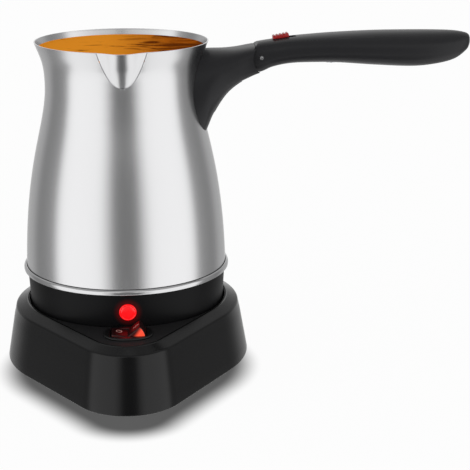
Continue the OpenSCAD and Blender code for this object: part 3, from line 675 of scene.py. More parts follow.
@dataclass(frozen=True)
class Crema(Finish):
    """Foam on fresh coffee: paler towards -x and deeper in colour towards +x, where dark swirls are
    more common.

    Attributes:
        dark: Colour of the swirls.
        deep: Colour on the far side.
        pale: Colour of the bubbles.
        sides: Where along x the pale side ends and the deep one begins, in metres.
        swirls: Swirls for each metre along x, y and z.
        spread: How common the swirls are on the pale side and on the deep one.
        contrast: How sharply the swirls stand out.
        bubbles: Bubbles for each metre.
    """

    dark: str = "#71340a"
    # deep: Colour towards +x.
    deep: str = "#b65c10"
    pale: str = "#f6c06c"
    sides: Flat = (-0.012, 0.03)
    swirls: Point = (38, 75, 10)
    spread: Flat = (0.44, 0.55)
    contrast: float = 6.0
    bubbles: float = 700.0

    def shader(self, tree: bpy.types.NodeTree) -> bpy.types.Node:
        """Adds the shader, whose colour follows slow swirls and small bubbles."""
        surface = super().shader(tree)
        where = add_node(tree, "ShaderNodeTexCoord").outputs["Object"]
        pulled = add_node(tree, "ShaderNodeMapping", None, {"Vector": where, "Scale": self.swirls})
        swirl = add_node(tree, "ShaderNodeTexNoise", None, {
            "Vector": pulled.outputs["Vector"], "Scale": 1.0, "Detail": 4.0, "Distortion": 1.6,
        })
        parts = add_node(tree, "ShaderNodeSeparateXYZ", None, {"Vector": where})
        side = ease(tree, parts.outputs["X"], *self.sides)
        body = blend(tree, side, linear(self.colour), linear(self.deep))
        edge = add_node(tree, "ShaderNodeMapRange", None, {
            "Value": side, "To Min": self.spread[0], "To Max": self.spread[1],
        })
        streak = sums(tree, "SUBTRACT", edge.outputs["Result"], swirl.outputs["Fac"], True)
        depth = sums(tree, "MULTIPLY", streak, self.contrast, True)
        tone = blend(tree, depth, body, linear(self.dark))
        cells = add_node(tree, "ShaderNodeTexVoronoi", {"feature": "F1"}, {
            "Vector": where, "Scale": self.bubbles,
        })
        bubble = set_stops(
            add_node(tree, "ShaderNodeValToRGB", None, {"Fac": cells.outputs["Distance"]}),
            [(0.05, 1.0), (0.14, 0.0)],
        )
        shown = blend(tree, bubble.outputs["Color"], tone, linear(self.pale))
        tree.links.new(shown, surface.inputs["Base Color"])
        return surface


# Finely eroded ABS with a half-gloss skin, so that lamps stay as upright grey bands
HOUSING = Finish(
    "moulded_abs", "housing_black", "#040405", 0.22,
    grain=0.5, relief=0.006, uneven=0.03, specular=0.29,
)
# The same ABS with a coarser erosion on the deck, which scatters what it mirrors, in a lighter
# colour that paints light onto the deck
DECK_PAINTED_LIGHTER = Finish(
    "coarse_abs_painted_lighter", "housing_black", "#1c1c1d", 0.62,
    grain=0.8, relief=0.03, uneven=0.05, specular=0.25,
)
# Nylon with a satin skin: wide soft highlights
SATIN = Finish(
    "satin_nylon", "handle_black", "#232325", 0.36,
    grain=0.7, relief=0.008, uneven=0.05, specular=0.21,
)
# Polycarbonate of the switch's frame
GLOSS = Finish(
    "satin_polycarbonate", "housing_black", "#0a0a0b", 0.36,
    grain=3, relief=0.004, uneven=0.03, specular=0.4,
)
# Polycarbonate of the rocker, dark red where no lamp shines through it
DARK_RED = Finish(
    "rocker_polycarbonate", "rocker_red", "#220405", 0.36,
    grain=1.5, relief=0.004, uneven=0.03, specular=0.35,
)
RUBBER = Finish("nitrile_rubber", "anti_slip_rubber", "#141414", 0.7, grain=0.4, relief=0.02)
# Drawn sheet with 0.35 mm brush lines, wider than real ones so that they show
STEEL = BrushedSteel(
    "brushed_stainless", "brushed_pot_steel", "#cccccd", 0.23,
    grain=0.35, stretch=(1, 1, 0.012), relief=0.0006, uneven=0.03, tint=0.03,
)
BRIGHT = Metal(
    "polished_stainless", "polished_bead_steel", "#c4c4c5", 0.14,
    grain=1.5, relief=0.001, uneven=0.04, tint=0.03,
)
ZINC = Metal(
    "zinc_plated_steel", "zinc_screw_steel", "#b9bcc0", 0.3, grain=0.8, relief=0.003, tint=0.08,
)
WIRE = Metal("spring_steel_wire", "spring_wire", "#9a9a9c", 0.28, grain=0.3, relief=0.001)
BRASS = Metal("contact_brass", "contact_brass", "#c79f50", 0.25, grain=0.8, relief=0.001)
CAST = Metal("cast_aluminium", "cast_aluminium", "#b4b5b4", 0.45, grain=0.9, relief=0.02)
CERAMIC = Finish("glazed_ceramic", "insulator_cream", "#d8d0bf", 0.3, grain=2, relief=0.004)
GLASS = Finish("lamp_glass", "lamp_glass", "#e9d9c8", 0.08, grain=2, relief=0.001, uneven=0.02)
SEAL = Finish(
    "silicone_rubber", "silicone_seal", "#8d2a22", 0.5, ior=1.41, grain=0.8, relief=0.008,
)
# Acetal of the latch button: dense red with a waxy gloss
ACETAL = Finish("red_acetal", "latch_red", "#a81616", 0.33, ior=1.48, grain=1.2, relief=0.006)
PRINT = Finish("pad_print", "housing_black", "#dcaaa2", 0.5, grain=0.3, relief=0.001)
FOAM = Crema(
    "coffee_crema", "insulator_cream", "#ffa02c", 0.7,
    ior=1.36, grain=1.2, relief=0.03, tint=0.12, specular=0.0,
)


def finish_piece(
    piece: bpy.types.Object, body: Body, look: Finish, *nodes: str, angle: float = 32,
) -> bpy.types.Object:
    """Shades and dresses a piece, and hands it to its body.

    Args:
        piece: The finished mesh.
        body: Body that it rides on.
        look: Its finish.
        nodes: Nodes of the frame that it stands for.
        angle: Edges sharper than this many degrees stay crisp.

    Returns:
        The piece.
    """
    shade(piece, angle)
    piece.data.materials.clear()
    piece.data.materials.append(look.build())
    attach(piece, body.value)
    if nodes:
        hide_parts(*nodes)
    LOG.info("%s: %d faces, %s", piece.name, len(piece.data.polygons), look.name)
    return piece


def dress_nodes(nodes: dict[str, bpy.types.Object], looks: dict[str, Finish]) -> None:
    """Gives nodes of the frame a finish.

    Args:
        nodes: The frame's nodes, by name.
        looks: The finish of each.
    """
    for name, look in looks.items():
        slots = nodes[name].data.materials
        for i in range(max(1, len(slots))):
            if i < len(slots):
                slots[i] = look.build()
            else:
                slots.append(look.build())
        LOG.info("%s: %s", name, look.name)


# ---------------------------------------------------------------- pot


@dataclass(frozen=True)
class WallShape:
    """Outer face of the steel wall, with its pressed spout."""

    foot: Flat = (48.6, 48.2)
    waist: Flat = (36.55, 135.5)
    rim: Flat = (40.95, 155.7)
    # how far the belly's handle lies inside the foot, and the heights of its two handles
    belly_in: float = 1.45
    belly_z: Flat = (101.22, 116.05)
    # the flare's two handles, the first above the waist
    flare_z: float = 145.96
    flare: Flat = (38.0, 147.9)
    spout_half_w: float = 11.3
    spout_h: float = 16.6
    spout_reach: float = 5.8
    # how far the spout's lower point stands off the wall, and the power by which it widens
    spout_stand: float = 0.3
    spout_spread: float = 0.45
    # length of the keel's rounding, and how far the flanks are hollow for their length
    keel_soft: float = 5.4
    flank_hollow: float = 0.035
    # depth and half width of the crease beside the spout, and how far its inner lip stands off
    crease: float = 0.3
    crease_w: float = 0.3
    crease_lip: float = 0.05
    # half angle that the spout's columns take below it, close to it and far from it
    gather: Flat = (1.4, 14)

    def curve(self, t: float) -> Flat:
        """Finds a point of the wall's profile.

        Args:
            t: 0 at the foot, 1 at the waist and 2 at the rim.

        Returns:
            Its radius and height.
        """
        waist_r = self.waist[0]
        if t <= 1:
            belly = (self.foot[0] - self.belly_in, self.belly_z[0])
            return bezier([self.foot, belly, (waist_r, self.belly_z[1]), self.waist], t)
        return bezier([self.waist, (waist_r, self.flare_z), self.flare, self.rim], t - 1)

    def radius(self, z: float) -> float:
        """Returns the wall's outer radius at a height."""
        if z <= self.foot[1]:
            return self.foot[0]
        halvings = 30
        low, high = (0.0, 1.0) if z < self.waist[1] else (1.0, 2.0)
        for _ in range(halvings):
            middle = (low + high) / 2
            low, high = (middle, high) if self.curve(middle)[1] < z else (low, middle)
        return self.curve(low)[0]

    def fraction(self, z: float) -> float:
        """Returns 0 at the spout's lower point and 1 at the rim."""
        return (z - self.rim[1] + self.spout_h) / self.spout_h

    def spout(self, z: float, inset: float, steps: int) -> list[Flat]:
        """Draws the spout's level section, from one crease over the keel to the other.

        Args:
            z: Height of the section.
            inset: How far it lies inside the outer face.
            steps: Points on each flank.

        Returns:
            Its points, with the left crease first.
        """
        f = min(max(self.fraction(z), 0.0), 1.0)
        wall = self.radius(z) - inset
        low = self.radius(self.rim[1] - self.spout_h) + self.spout_stand
        keel = inset * 1.15 - mix(low, self.rim[0] + self.spout_reach, f)
        half_w = self.spout_half_w * max(f, 0.004) ** self.spout_spread
        turn = math.asin(min(half_w / wall, 1))
        out = wall + self.crease_lip
        edge = (out * math.sin(turn), -out * math.cos(turn))
        run = math.hypot(edge[0], edge[1] - keel)
        way = (edge[0] / run, (edge[1] - keel) / run)
        # the rounded keel, then the flank
        soft = min(self.keel_soft, run * 0.55)
        keel_steps = steps // 3
        flank: list[Flat] = []
        for i in range(keel_steps):
            t = 0.5 + 0.5 * i / keel_steps
            lean = t * t - (1 - t) ** 2
            flank.append((soft * lean * way[0], keel + soft * (t * t + (1 - t) ** 2) * way[1]))
        hollow = self.flank_hollow * run
        for i in range(steps - keel_steps + 1):
            t = mix(soft / run, 1, i / (steps - keel_steps))
            dip = hollow * math.sin(math.pi * (t - soft / run) / (1 - soft / run)) ** 2
            flank.append((
                run * t * way[0] - dip * way[1] * 0.5,
                keel + run * t * way[1] + dip * way[0] * 0.5,
            ))
        # the crease is a fine groove with a lip on each side, and deepens over the first eighth
        lip = run - min(self.crease_w, 0.05 * run)
        flank[-1] = (lip * way[0], keel + lip * way[1])
        deep = wall - self.crease * min(f * 8, 1)
        flank.append((deep * math.sin(turn), -deep * math.cos(turn)))
        turn += self.crease_w / wall
        flank.append((wall * math.sin(turn), -wall * math.cos(turn)))
        mirrored = [(-x, y) for x, y in reversed(flank[1:])]
        return mirrored + flank

    def section(self, z: float, inset: float) -> Section:
        """Draws the whole level section of the wall.

        Args:
            z: Height of the section.
            inset: How far it lies inside the outer face.

        Returns:
            Its points.
        """
        # points round the wall, and on each flank of the spout
        columns, steps = 300, 24
        wall = self.radius(z) - inset
        f = self.fraction(z)
        if f > 0:
            lip = self.spout(z, inset, steps)
            first = math.degrees(math.atan2(lip[-1][0], -lip[-1][1]))
        else:
            # columns close up below the spout, where they meet at its lower point
            first = mix(*self.gather, min(-f / 0.9, 1))
            columns_in = 2 * steps + 4
            lip = [(wall * math.sin(a), -wall * math.cos(a)) for a in (
                math.radians(mix(-first, first, i / columns_in)) for i in range(columns_in + 1)
            )]
        turns = (math.radians(mix(first, 360 - first, i / columns)) for i in range(1, columns))
        round_wall = [(wall * math.sin(a), -wall * math.cos(a)) for a in turns]
        return [(x, y, z) for x, y in lip + round_wall]


@dataclass
class Pot:
    """The steel pot on its black collar, with what it holds."""

    wall: WallShape = field(default_factory=WallShape)
    steel_t: float = 0.6
    floor_z: float = 48.6
    skirt_z: float = 46.25
    collar_z: float = 24.3
    collar_top_z: float = 45.8
    collar_r: float = 48.1
    collar_low_r: float = 47.0
    bead_z: float = 47.0
    bead_half: float = 1.2
    bead_r: float = 50.0
    lens_h: float = 12.9
    lens_r: float = 4.0
    coffee_z: float = 152.6
    # rounding inside the floor's edge, and steps round the turned pieces
    fillet: float = 3.5
    round_steps: int = 256
    # heights of the spout's sections, as shares of its own height
    spout_rows: tuple[float, ...] = (
        -0.3, -0.15, -0.05, 0.001, 0.01, 0.03, 0.06, 0.1, 0.15, 0.2, 0.26, 0.33,
        0.4, 0.48, 0.56, 0.64, 0.72, 0.8, 0.88, 0.94,
    )

    def levels(self, low: float, high: float) -> list[float]:
        """Returns the heights of the wall's sections between two heights."""
        places = [i / 30 for i in range(31)] + [1 + i / 8 for i in range(1, 9)]
        rows = [self.wall.curve(t)[1] for t in places]
        start = self.wall.rim[1] - self.wall.spout_h
        rows += [start + self.wall.spout_h * f for f in self.spout_rows]
        kept = []
        for z in sorted(z for z in rows if low < z < high):
            if not kept or z - kept[-1] > 0.12:
                kept.append(z)
        return kept

    def vessel(self) -> bpy.types.Object:
        """Draws up the wall, folds it over the rim and closes it with the floor.

        Returns:
            The steel vessel.
        """
        wall, t = self.wall, self.steel_t
        foot, top = wall.foot[1], wall.rim[1]
        inner_floor = self.floor_z + t
        fillet = self.fillet
        sections = [level(wall.section(60, 0), self.floor_z, 0.03)]
        for inset, z in (
            (t + 0.6, self.floor_z), (t, self.floor_z - 0.6), (t, self.skirt_z),
            (0.1, self.skirt_z), (0, self.skirt_z + 0.15),
        ):
            sections.append(level(wall.section(foot, inset), z))
        sections += [wall.section(z, 0) for z in [foot] + self.levels(foot + 0.3, top - 0.5)]
        # trimmed edge with its burr taken off
        burr = ((0, 0.12), (0.04, 0.03), (0.12, 0), (t - 0.12, 0), (t - 0.04, 0.03), (t, 0.12))
        sections += [level(wall.section(top - 0.12, inset), top - down) for inset, down in burr]
        inner = self.levels(inner_floor + fillet + 0.5, top - 0.5)
        sections += [wall.section(z, t) for z in reversed(inner)]
        for angle in range(0, 91, 15):
            a = math.radians(angle)
            outline = wall.section(inner_floor + fillet, t + fillet * (1 - math.cos(a)))
            sections.append(level(outline, inner_floor + fillet * (1 - math.sin(a))))
        for scale in (0.5, 0.05):
            sections.append(level(sections[-1], inner_floor, scale))
        return skin("vessel", sections)

    def bead(self) -> bpy.types.Object:
        """Turns the bead that covers the joint of wall and collar."""
        wall_r = self.wall.foot[0]
        low, high = self.bead_z - self.bead_half, self.bead_z + self.bead_half
        # rolled over at the top, trimmed square below
        edge, lap = 0.3, 0.25
        stand = self.bead_r - wall_r - lap
        nose = arc((self.bead_r - edge, low + edge), edge, -90, 0, 4)
        for i in range(16):
            a = math.radians(6 * i)
            nose.append((
                wall_r + lap + stand * math.cos(a),
                self.bead_z - edge + (self.bead_half + edge) * math.sin(a),
            ))
        # it reaches under the wall's foot
        in_r = wall_r - 2.6
        profile = [(in_r, low), (wall_r - 0.4, low)] + nose + [
            (wall_r + 0.05, high - 0.1), (wall_r + 0.05, low + 1), (in_r, low + 1),
        ]
        return lathe("bead", profile, self.round_steps)

    def bead_dark_line(self) -> bpy.types.Object:
        """Turns a thin dark ring that darkens the line between the bead and the wall."""
        wall_r, low = self.wall.foot[0], self.bead_z + self.bead_half
        return lathe("bead_dark_ring", [
            (wall_r + 0.06, low - 0.3), (wall_r + 0.3, low - 0.3),
            (wall_r + 0.3, low + 0.06), (wall_r + 0.02, low + 0.2),
        ], self.round_steps)

    def collar(self) -> bpy.types.Object:
        """Turns the collar and bores it for the indicator.

        Returns:
            The collar.
        """
        low_r, high_r = self.collar_low_r, self.collar_r
        in_r = low_r - 2.2
        low, top = self.collar_z, self.collar_top_z - 0.05
        foot = arc((low_r - 0.9, low + 0.9), 0.9, -90, 0, 6)
        shoulder = arc((high_r - 0.8, top - 0.8), 0.8, 0, 90, 6)
        ledge = [(42, top), (42, top - 2), (in_r, top - 2)]
        profile = [(in_r, low + 0.6), (in_r + 0.6, low)] + foot + shoulder + ledge
        collar = lathe("collar", profile, self.round_steps)
        bore = skin("bore", [self.lens_ring(self.lens_r - 0.6, out, 60) for out in (-6, 6)])
        return meet(collar, Join.CUT, bore)

    def at_lens(self, x: float, up: float, out: float) -> Point:
        """Places a point that is measured from the indicator's seat on the leaning collar."""
        lean = math.atan2(self.collar_r - self.collar_low_r, self.collar_top_z - self.collar_z)
        face = self.collar_low_r + self.lens_h * math.tan(lean) - 0.15
        return (
            x, -face - up * math.sin(lean) - out * math.cos(lean),
            self.collar_z + self.lens_h + up * math.cos(lean) - out * math.sin(lean),
        )

    def lens_ring(self, radius: float, out: float, count: int) -> Section:
        """Draws a circle round the indicator's middle, at a height above its seat."""
        return [self.at_lens(x, z, out) for x, z in circle((0, 0), radius, count)]

    def lens(self) -> bpy.types.Object:
        """Draws the indicator's lens out to a low dome with a flat rim.

        Returns:
            The lens.
        """
        r = self.lens_r
        dome_r, dome_at, dome_h = r - 0.68, 0.95, 0.45
        steps = [
            (0.05, -3.0), (r - 0.65, -3.0), (r - 0.65, 0.2), (r - 0.1, 0.2), (r, 0.29), (r, 0.6),
            (r - 0.12, 0.92), (r - 0.3, 1.05), (r - 0.5, 1.05), (dome_r, dome_at),
        ]
        for angle in range(12, 85, 12):
            a = math.radians(angle)
            steps.append((dome_r * math.cos(a), dome_at + dome_h * math.sin(a)))
        steps.append((0.1, dome_at + dome_h))
        return skin("lens", [self.lens_ring(radius, out, 64) for radius, out in steps])

    def coffee(self) -> bpy.types.Object:
        """Fills the pot's mouth with a thin layer of crema that climbs a little at the wall.

        Returns:
            The layer.
        """
        edge = self.wall.section(self.coffee_z, self.steel_t + 0.03)
        return skin("coffee", [level(edge, self.coffee_z + height, scale) for scale, height in (
            (0.02, -1.5), (0.97, -1.5), (1, -1.2), (1, 0.35), (0.992, 0.18), (0.98, 0.05),
            (0.95, 0), (0.8, 0), (0.6, 0), (0.4, 0), (0.2, 0), (0.02, 0),
        )])

    def build(self, nodes: dict[str, bpy.types.Object]) -> None:
        """Makes and dresses the pot's pieces.

        Args:
            nodes: The frame's nodes, by name.
        """
        finish_piece(self.vessel(), Body.POT, STEEL, "pot_vessel", angle=38)
        finish_piece(self.bead(), Body.POT, BRIGHT, "bead_ring", angle=45)
        # a thin ring of dark rubber darkens the line above the bead
        finish_piece(self.bead_dark_line(), Body.POT, RUBBER, angle=45)
        centre = self.at_lens(0, 0, 0)
        # ABS again, in a lighter copy that paints light onto the collar, with a painted red glow
        # round the lens
        collar_abs_painted_light = LitPlastic(
            "moulded_abs_painted_red_glow", HOUSING.slot, "#101011", 0.42, grain=HOUSING.grain,
            relief=HOUSING.relief, uneven=HOUSING.uneven, specular=0.1, glow="#ff1010",
            strength=0.05, centre=centre, reach=self.lens_r + 3.2, core=self.lens_r - 0.2,
        )
        finish_piece(self.collar(), Body.POT, collar_abs_painted_light, "pot_collar")
        # red polycarbonate, brightest in front of the lamp
        lens_glow = LitPlastic(
            "lit_red_polycarbonate", "lens_red", "#c01014", 0.2, ior=1.58, grain=0.5, relief=0.02,
            uneven=0.03, tint=0.2, glow="#ff1218", strength=0.85, centre=centre,
            reach=self.lens_r + 1.6, core=self.lens_r - 0.6,
        )
        finish_piece(self.lens(), Body.POT, lens_glow, "indicator_lens", angle=50)
        finish_piece(self.coffee(), Body.POT, FOAM, angle=60)
        dress_nodes(nodes, {
            "collar_plate": HOUSING, "collar_screws": ZINC, "vessel_seal": SEAL,
            "heater_plate": CAST, "heater_tube": CAST, "thermostat": CERAMIC,
            "thermal_fuse": ZINC, "pot_connector": HOUSING, "pot_contacts": BRASS,
            "socket_screws": ZINC, "indicator_lamp": GLASS, "neck_bracket": ZINC,
            "bracket_screw": ZINC,
        })


# ---------------------------------------------------------------- base


@dataclass
class Base:
    """The black housing that stays on the table, with its switch's frame."""

    base_z: float = 1.0
    side_h: float = 26.5
    crest_z: float = 30.2
    deck_z: float = 29.8
    well_z: float = 24.0
    well_r: float = 47.8
    rim_w: float = 6.0
    wall_t: float = 2.2
    back: Flat = (59.5, 54.8)
    nose: Flat = (26.5, 23.3)
    nose_at: Flat = (57.5, 55.0)
    lead_z: float = 12.0
    # bores for the lead's bush and the connector's tower, and the pad that the bush sits on
    lead_r: float = 4.45
    tower_r: float = 15.05
    pad_r: float = 7.4
    pad_stand: float = 1.5
    switch_y: float = 57.0
    frame_half: Flat = (11.2, 8.7)
    opening_half: Flat = (8.15, 5.1)
    # rounding of the foot's edge, the rim's start above the side, and the crest's two radii
    foot_round: Flat = (0.7, 0.8)
    rim_start: Flat = (1.2, 0.42)
    crest_round: Flat = (0.9, 0.3)

    def outline(self, z: float, inset: float, draft_z: float | None = None) -> Section:
        """Draws the housing's outline.

        Args:
            z: Height of the outline.
            inset: How far it lies inside the drafted wall.
            draft_z: Height at which the draft is taken, if not z.

        Returns:
            Its points.
        """
        t = ((z if draft_z is None else draft_z) - self.base_z) / self.side_h
        back, nose = mix(*self.back, t) - inset, mix(*self.nose, t) - inset
        return drop(back, nose, mix(*self.nose_at, t), z)

    def form(self) -> bpy.types.Object:
        """Draws up the housing's outer form, over its rim and down to the deck."""
        low, top = self.base_z, self.base_z + self.side_h
        inset, rise = self.foot_round
        sections = [self.outline(low, inset)]
        for angle in (25, 45, 65, 90):
            a = math.radians(angle)
            sections.append(self.outline(
                low + rise * (1 - math.cos(a)), inset * (1 - math.sin(a)),
            ))
        sections += [self.outline(mix(low + rise, top - 1.2, i / 6), 0) for i in range(1, 6)]
        # rounded shoulder, then the sloped rim and its rounded crest
        rim_in, rim_up = self.rim_start
        shoulder = [(0, top - 1.3), (0.05, top - 0.4), (0.35, top + 0.05), (rim_in, top + rim_up)]
        for i in range(9):
            x, z = bezier(shoulder, i / 8)
            sections.append(self.outline(z, x, top))
        crest_in, crest_up = self.crest_round
        crest = (self.rim_w - 1.0, self.crest_z - 0.35)
        for t in (0.3, 0.65, 1):
            z = mix(top + rim_up, crest[1], t)
            sections.append(self.outline(z, mix(rim_in, crest[0], t), top))
        for i in range(1, 7):
            a = math.radians(90 - 15 * i)
            z = crest[1] + crest_up * math.cos(a * 0.9)
            sections.append(self.outline(z, crest[0] + crest_in * (1 - math.sin(a)), top))
        for z in (self.crest_z - 0.5, self.deck_z):
            sections.append(self.outline(z, self.rim_w, top))
        return skin("housing", sections)

    def hollow(self) -> bpy.types.Object:
        """Draws the space inside the housing, round the well."""
        low, top = self.base_z, self.base_z + self.side_h
        wall_t, plug_r, plug_z = self.wall_t, self.well_r + self.wall_t, self.well_z - self.wall_t
        hollow = skin("hollow", [
            self.outline(low - 1, wall_t + 0.3, low), self.outline(low + 3, wall_t + 0.3, low),
            self.outline(self.deck_z - wall_t, wall_t + 1.6, top),
        ])
        plug = lathe("plug", [(0, plug_z), (plug_r, plug_z), (plug_r, 60), (0, 60)], 128)
        return meet(hollow, Join.CUT, plug)

    def pad(self) -> bpy.types.Object:
        """Draws the round pad at the back, which the lead's bush sits on."""
        outline = [(x, 54.7, self.lead_z + z) for x, z in circle((0, 0), self.pad_r, 72)]
        pad = slab("pad", outline, (0, 4.5, 0))
        lean = (self.back[0] - self.back[1]) / self.side_h
        end = self.back[0] - lean * (self.lead_z - self.base_z) + self.pad_stand
        return meet(pad, Join.KEEP, block("reach", (-20, 40, 0), (20, end, 40)))

    def shell(self) -> bpy.types.Object:
        """Sinks the well into the housing's form, hollows it and cuts its openings.

        Returns:
            The housing.
        """
        shell = self.form()
        r, d = self.well_r, self.deck_z
        # the well's mouth is eased by 0.3 mm
        corner = arc((r - 0.8, self.well_z + 0.8), 0.8, -90, 0, 6)
        well = lathe("well", [(0, self.well_z)] + corner + [
            (r, d - 0.35), (r + 0.3, d + 0.001), (r, d + 0.35), (r, d + 4), (0, d + 4),
        ], 192)
        pad = self.pad()
        hollow = self.hollow()
        opening = [(x, y - self.switch_y, 10) for x, y in oval(10.4, 7.2, 3, 64)]
        switch = slab("switch_hole", opening, (0, 0, 30))
        bore = [(x, 40, self.lead_z + z) for x, z in circle((0, 0), self.lead_r, 60)]
        lead = slab("lead_hole", bore, (0, 30, 0))
        side = [(0, 10), (self.tower_r, 10), (self.tower_r, 40), (0, 40)]
        tower = lathe("tower_hole", side, 96)
        meet(shell, Join.ADD, pad)
        return meet(shell, Join.CUT, well, hollow, switch, lead, tower)

    def switch_frame(self) -> bpy.types.Object:
        """Draws up the switch's barrel, its domed frame and the rocker's opening.

        Returns:
            The frame.
        """
        low, deck = self.deck_z - 16, self.deck_z
        (fx, fy), (ox, oy) = self.frame_half, self.opening_half

        def at(half_x: float, half_y: float, square: float, z: float) -> Section:
            """Places one oval of the frame."""
            return [(x, y - self.switch_y, z) for x, y in oval(half_x, half_y, square, 128)]

        sections = [
            at(10.2, 7, 3, low), at(10.2, 7, 3, deck), at(fx - 0.15, fy - 0.15, 2.4, deck),
            at(fx, fy, 2.4, deck + 0.15),
        ]
        for i in range(1, 7):
            t = i / 6
            x, z = bezier([(0, 0.15), (0, 0.75), (0.35, 1.0), (1.3, 1.0)], t)
            sections.append(at(fx - x, fy - x, mix(2.4, 2.8, t), deck + z))
        sections += [
            at(ox + 0.45, oy + 0.45, 10, deck + 1.0), at(ox + 0.13, oy + 0.13, 16, deck + 0.88),
            at(ox, oy, 20, deck + 0.6), at(ox, oy, 20, deck - 9.1), at(6, 4, 8, deck - 9.1),
            at(6, 4, 8, low + 1.6),
        ]
        return skin("switch_bezel", sections)

    def build(self, nodes: dict[str, bpy.types.Object]) -> None:
        """Makes and dresses the base's pieces.

        Args:
            nodes: The frame's nodes, by name.
        """
        shell = finish_piece(self.shell(), Body.BASE, HOUSING, "base_shell", angle=30)
        # the deck's upward faces take the lighter copy of the ABS, which paints light onto them
        shell.data.materials.append(DECK_PAINTED_LIGHTER.build())
        for face in shell.data.polygons:
            on_deck = abs(face.center.z - self.deck_z * MM) < 0.1 * MM
            face.material_index = int(on_deck and face.normal.z > 0.9)
        finish_piece(self.switch_frame(), Body.BASE, GLOSS, "switch_frame", angle=40)
        dress_nodes(nodes, {
            "base_cover": HOUSING, "foot_ring": RUBBER, "cover_screws": ZINC,
            "base_connector": HOUSING, "base_contacts": BRASS, "connector_screws": ZINC,
            "switch_terminals": BRASS, "switch_lamp": GLASS, "lead_bush": RUBBER,
            "lead_clamp": HOUSING, "clamp_screws": ZINC,
        })


# ---------------------------------------------------------------- rocker


@dataclass
class Rocker:
    """The lit rocker with its two marks."""

    pivot: Point = (0.0, -57.0, 29.1)
    throw: float = 30.0
    radius: float = 7.8
    half_w: float = 4.8
    tip: float = 33.0
    dip: float = 1.3
    # depth and height of the printed ink
    ink: Flat = (-0.05, 0.04)

    def at(self, x: float, y: float, z: float) -> Point:
        """Turns a point of the level rocker to its rest position, with the right end up."""
        a = math.radians(self.throw / 2)
        return (
            self.pivot[0] + x * math.cos(a) - z * math.sin(a),
            self.pivot[1] + y,
            self.pivot[2] + x * math.sin(a) + z * math.cos(a),
        )

    def on_face(self, side: int, along: float, across: float, lift: float) -> Point:
        """Finds a point on one of the two top faces.

        Args:
            side: -1 for the left face, 1 for the right one.
            along: Distance from the rocker's middle, up the face.
            across: Distance from the face's middle line.
            lift: Height above the face.

        Returns:
            The point.
        """
        tip = math.radians(self.tip)
        x, z = self.radius * math.cos(tip), self.radius * math.sin(tip) - self.dip
        run = math.hypot(x, z)
        way = (x / run, z / run)
        return self.at(
            side * (along * way[0] - lift * way[1]), across,
            self.dip + along * way[1] + lift * way[0],
        )

    def body(self) -> bpy.types.Object:
        """Cuts the rocker to its side outline and rounds its edges.

        Returns:
            The rocker.
        """
        right = arc((0, 0), self.radius, self.tip, -19, 10)
        left = [(-x, z) for x, z in reversed(right)]
        outline = [(0, self.dip)] + right + [(5.2, -3.2), (-5.2, -3.2)] + left
        side = [self.at(x, -self.half_w, z) for x, z in outline]
        return soften(slab("rocker", side, (0, 2 * self.half_w, 0)), 0.35, 3, 30)

    def ring_mark(self) -> bpy.types.Object:
        """Draws the ring that marks the switch's off side."""
        (low, high), (inner, outer) = self.ink, (1.1, 1.45)
        sections = []
        for r, lift in ((inner, low), (outer, low), (outer, high), (inner, high)):
            rim = circle((1.2, 3.9), r, 48)
            sections.append([self.on_face(-1, along, across, lift) for across, along in rim])
        return skin("off_ring", sections, endless=True)

    def bar_mark(self) -> bpy.types.Object:
        """Draws the bar that marks the switch's on side."""
        bar = oval(1.7, 0.22, 4, 32)
        return skin("on_bar", [
            [self.on_face(1, 5.0 + x, 0.4 + y, lift) for x, y in bar] for lift in self.ink
        ])

    def build(self) -> None:
        """Makes and dresses the rocker and its marks."""
        # the lamp shows through the rocker's two sides, under its raised end
        lit = LitPlastic(
            "lit_rocker_polycarbonate", DARK_RED.slot, "#4a0a08", DARK_RED.roughness,
            grain=DARK_RED.grain, relief=DARK_RED.relief, uneven=DARK_RED.uneven,
            glow="#ff5236", centre=self.pivot, reach=-0.7, core=-2.8, heading=(-0.82, 0, 0.57),
        )
        rocker = finish_piece(self.body(), Body.ROCKER, DARK_RED, "switch_rocker", angle=40)
        rocker.data.materials.append(lit.build())
        for face in rocker.data.polygons:
            face.material_index = int(abs(face.normal.y) > 0.9)
        finish_piece(self.ring_mark(), Body.ROCKER, PRINT, angle=40)
        finish_piece(self.bar_mark(), Body.ROCKER, PRINT, angle=40)


# ---------------------------------------------------------------- handle


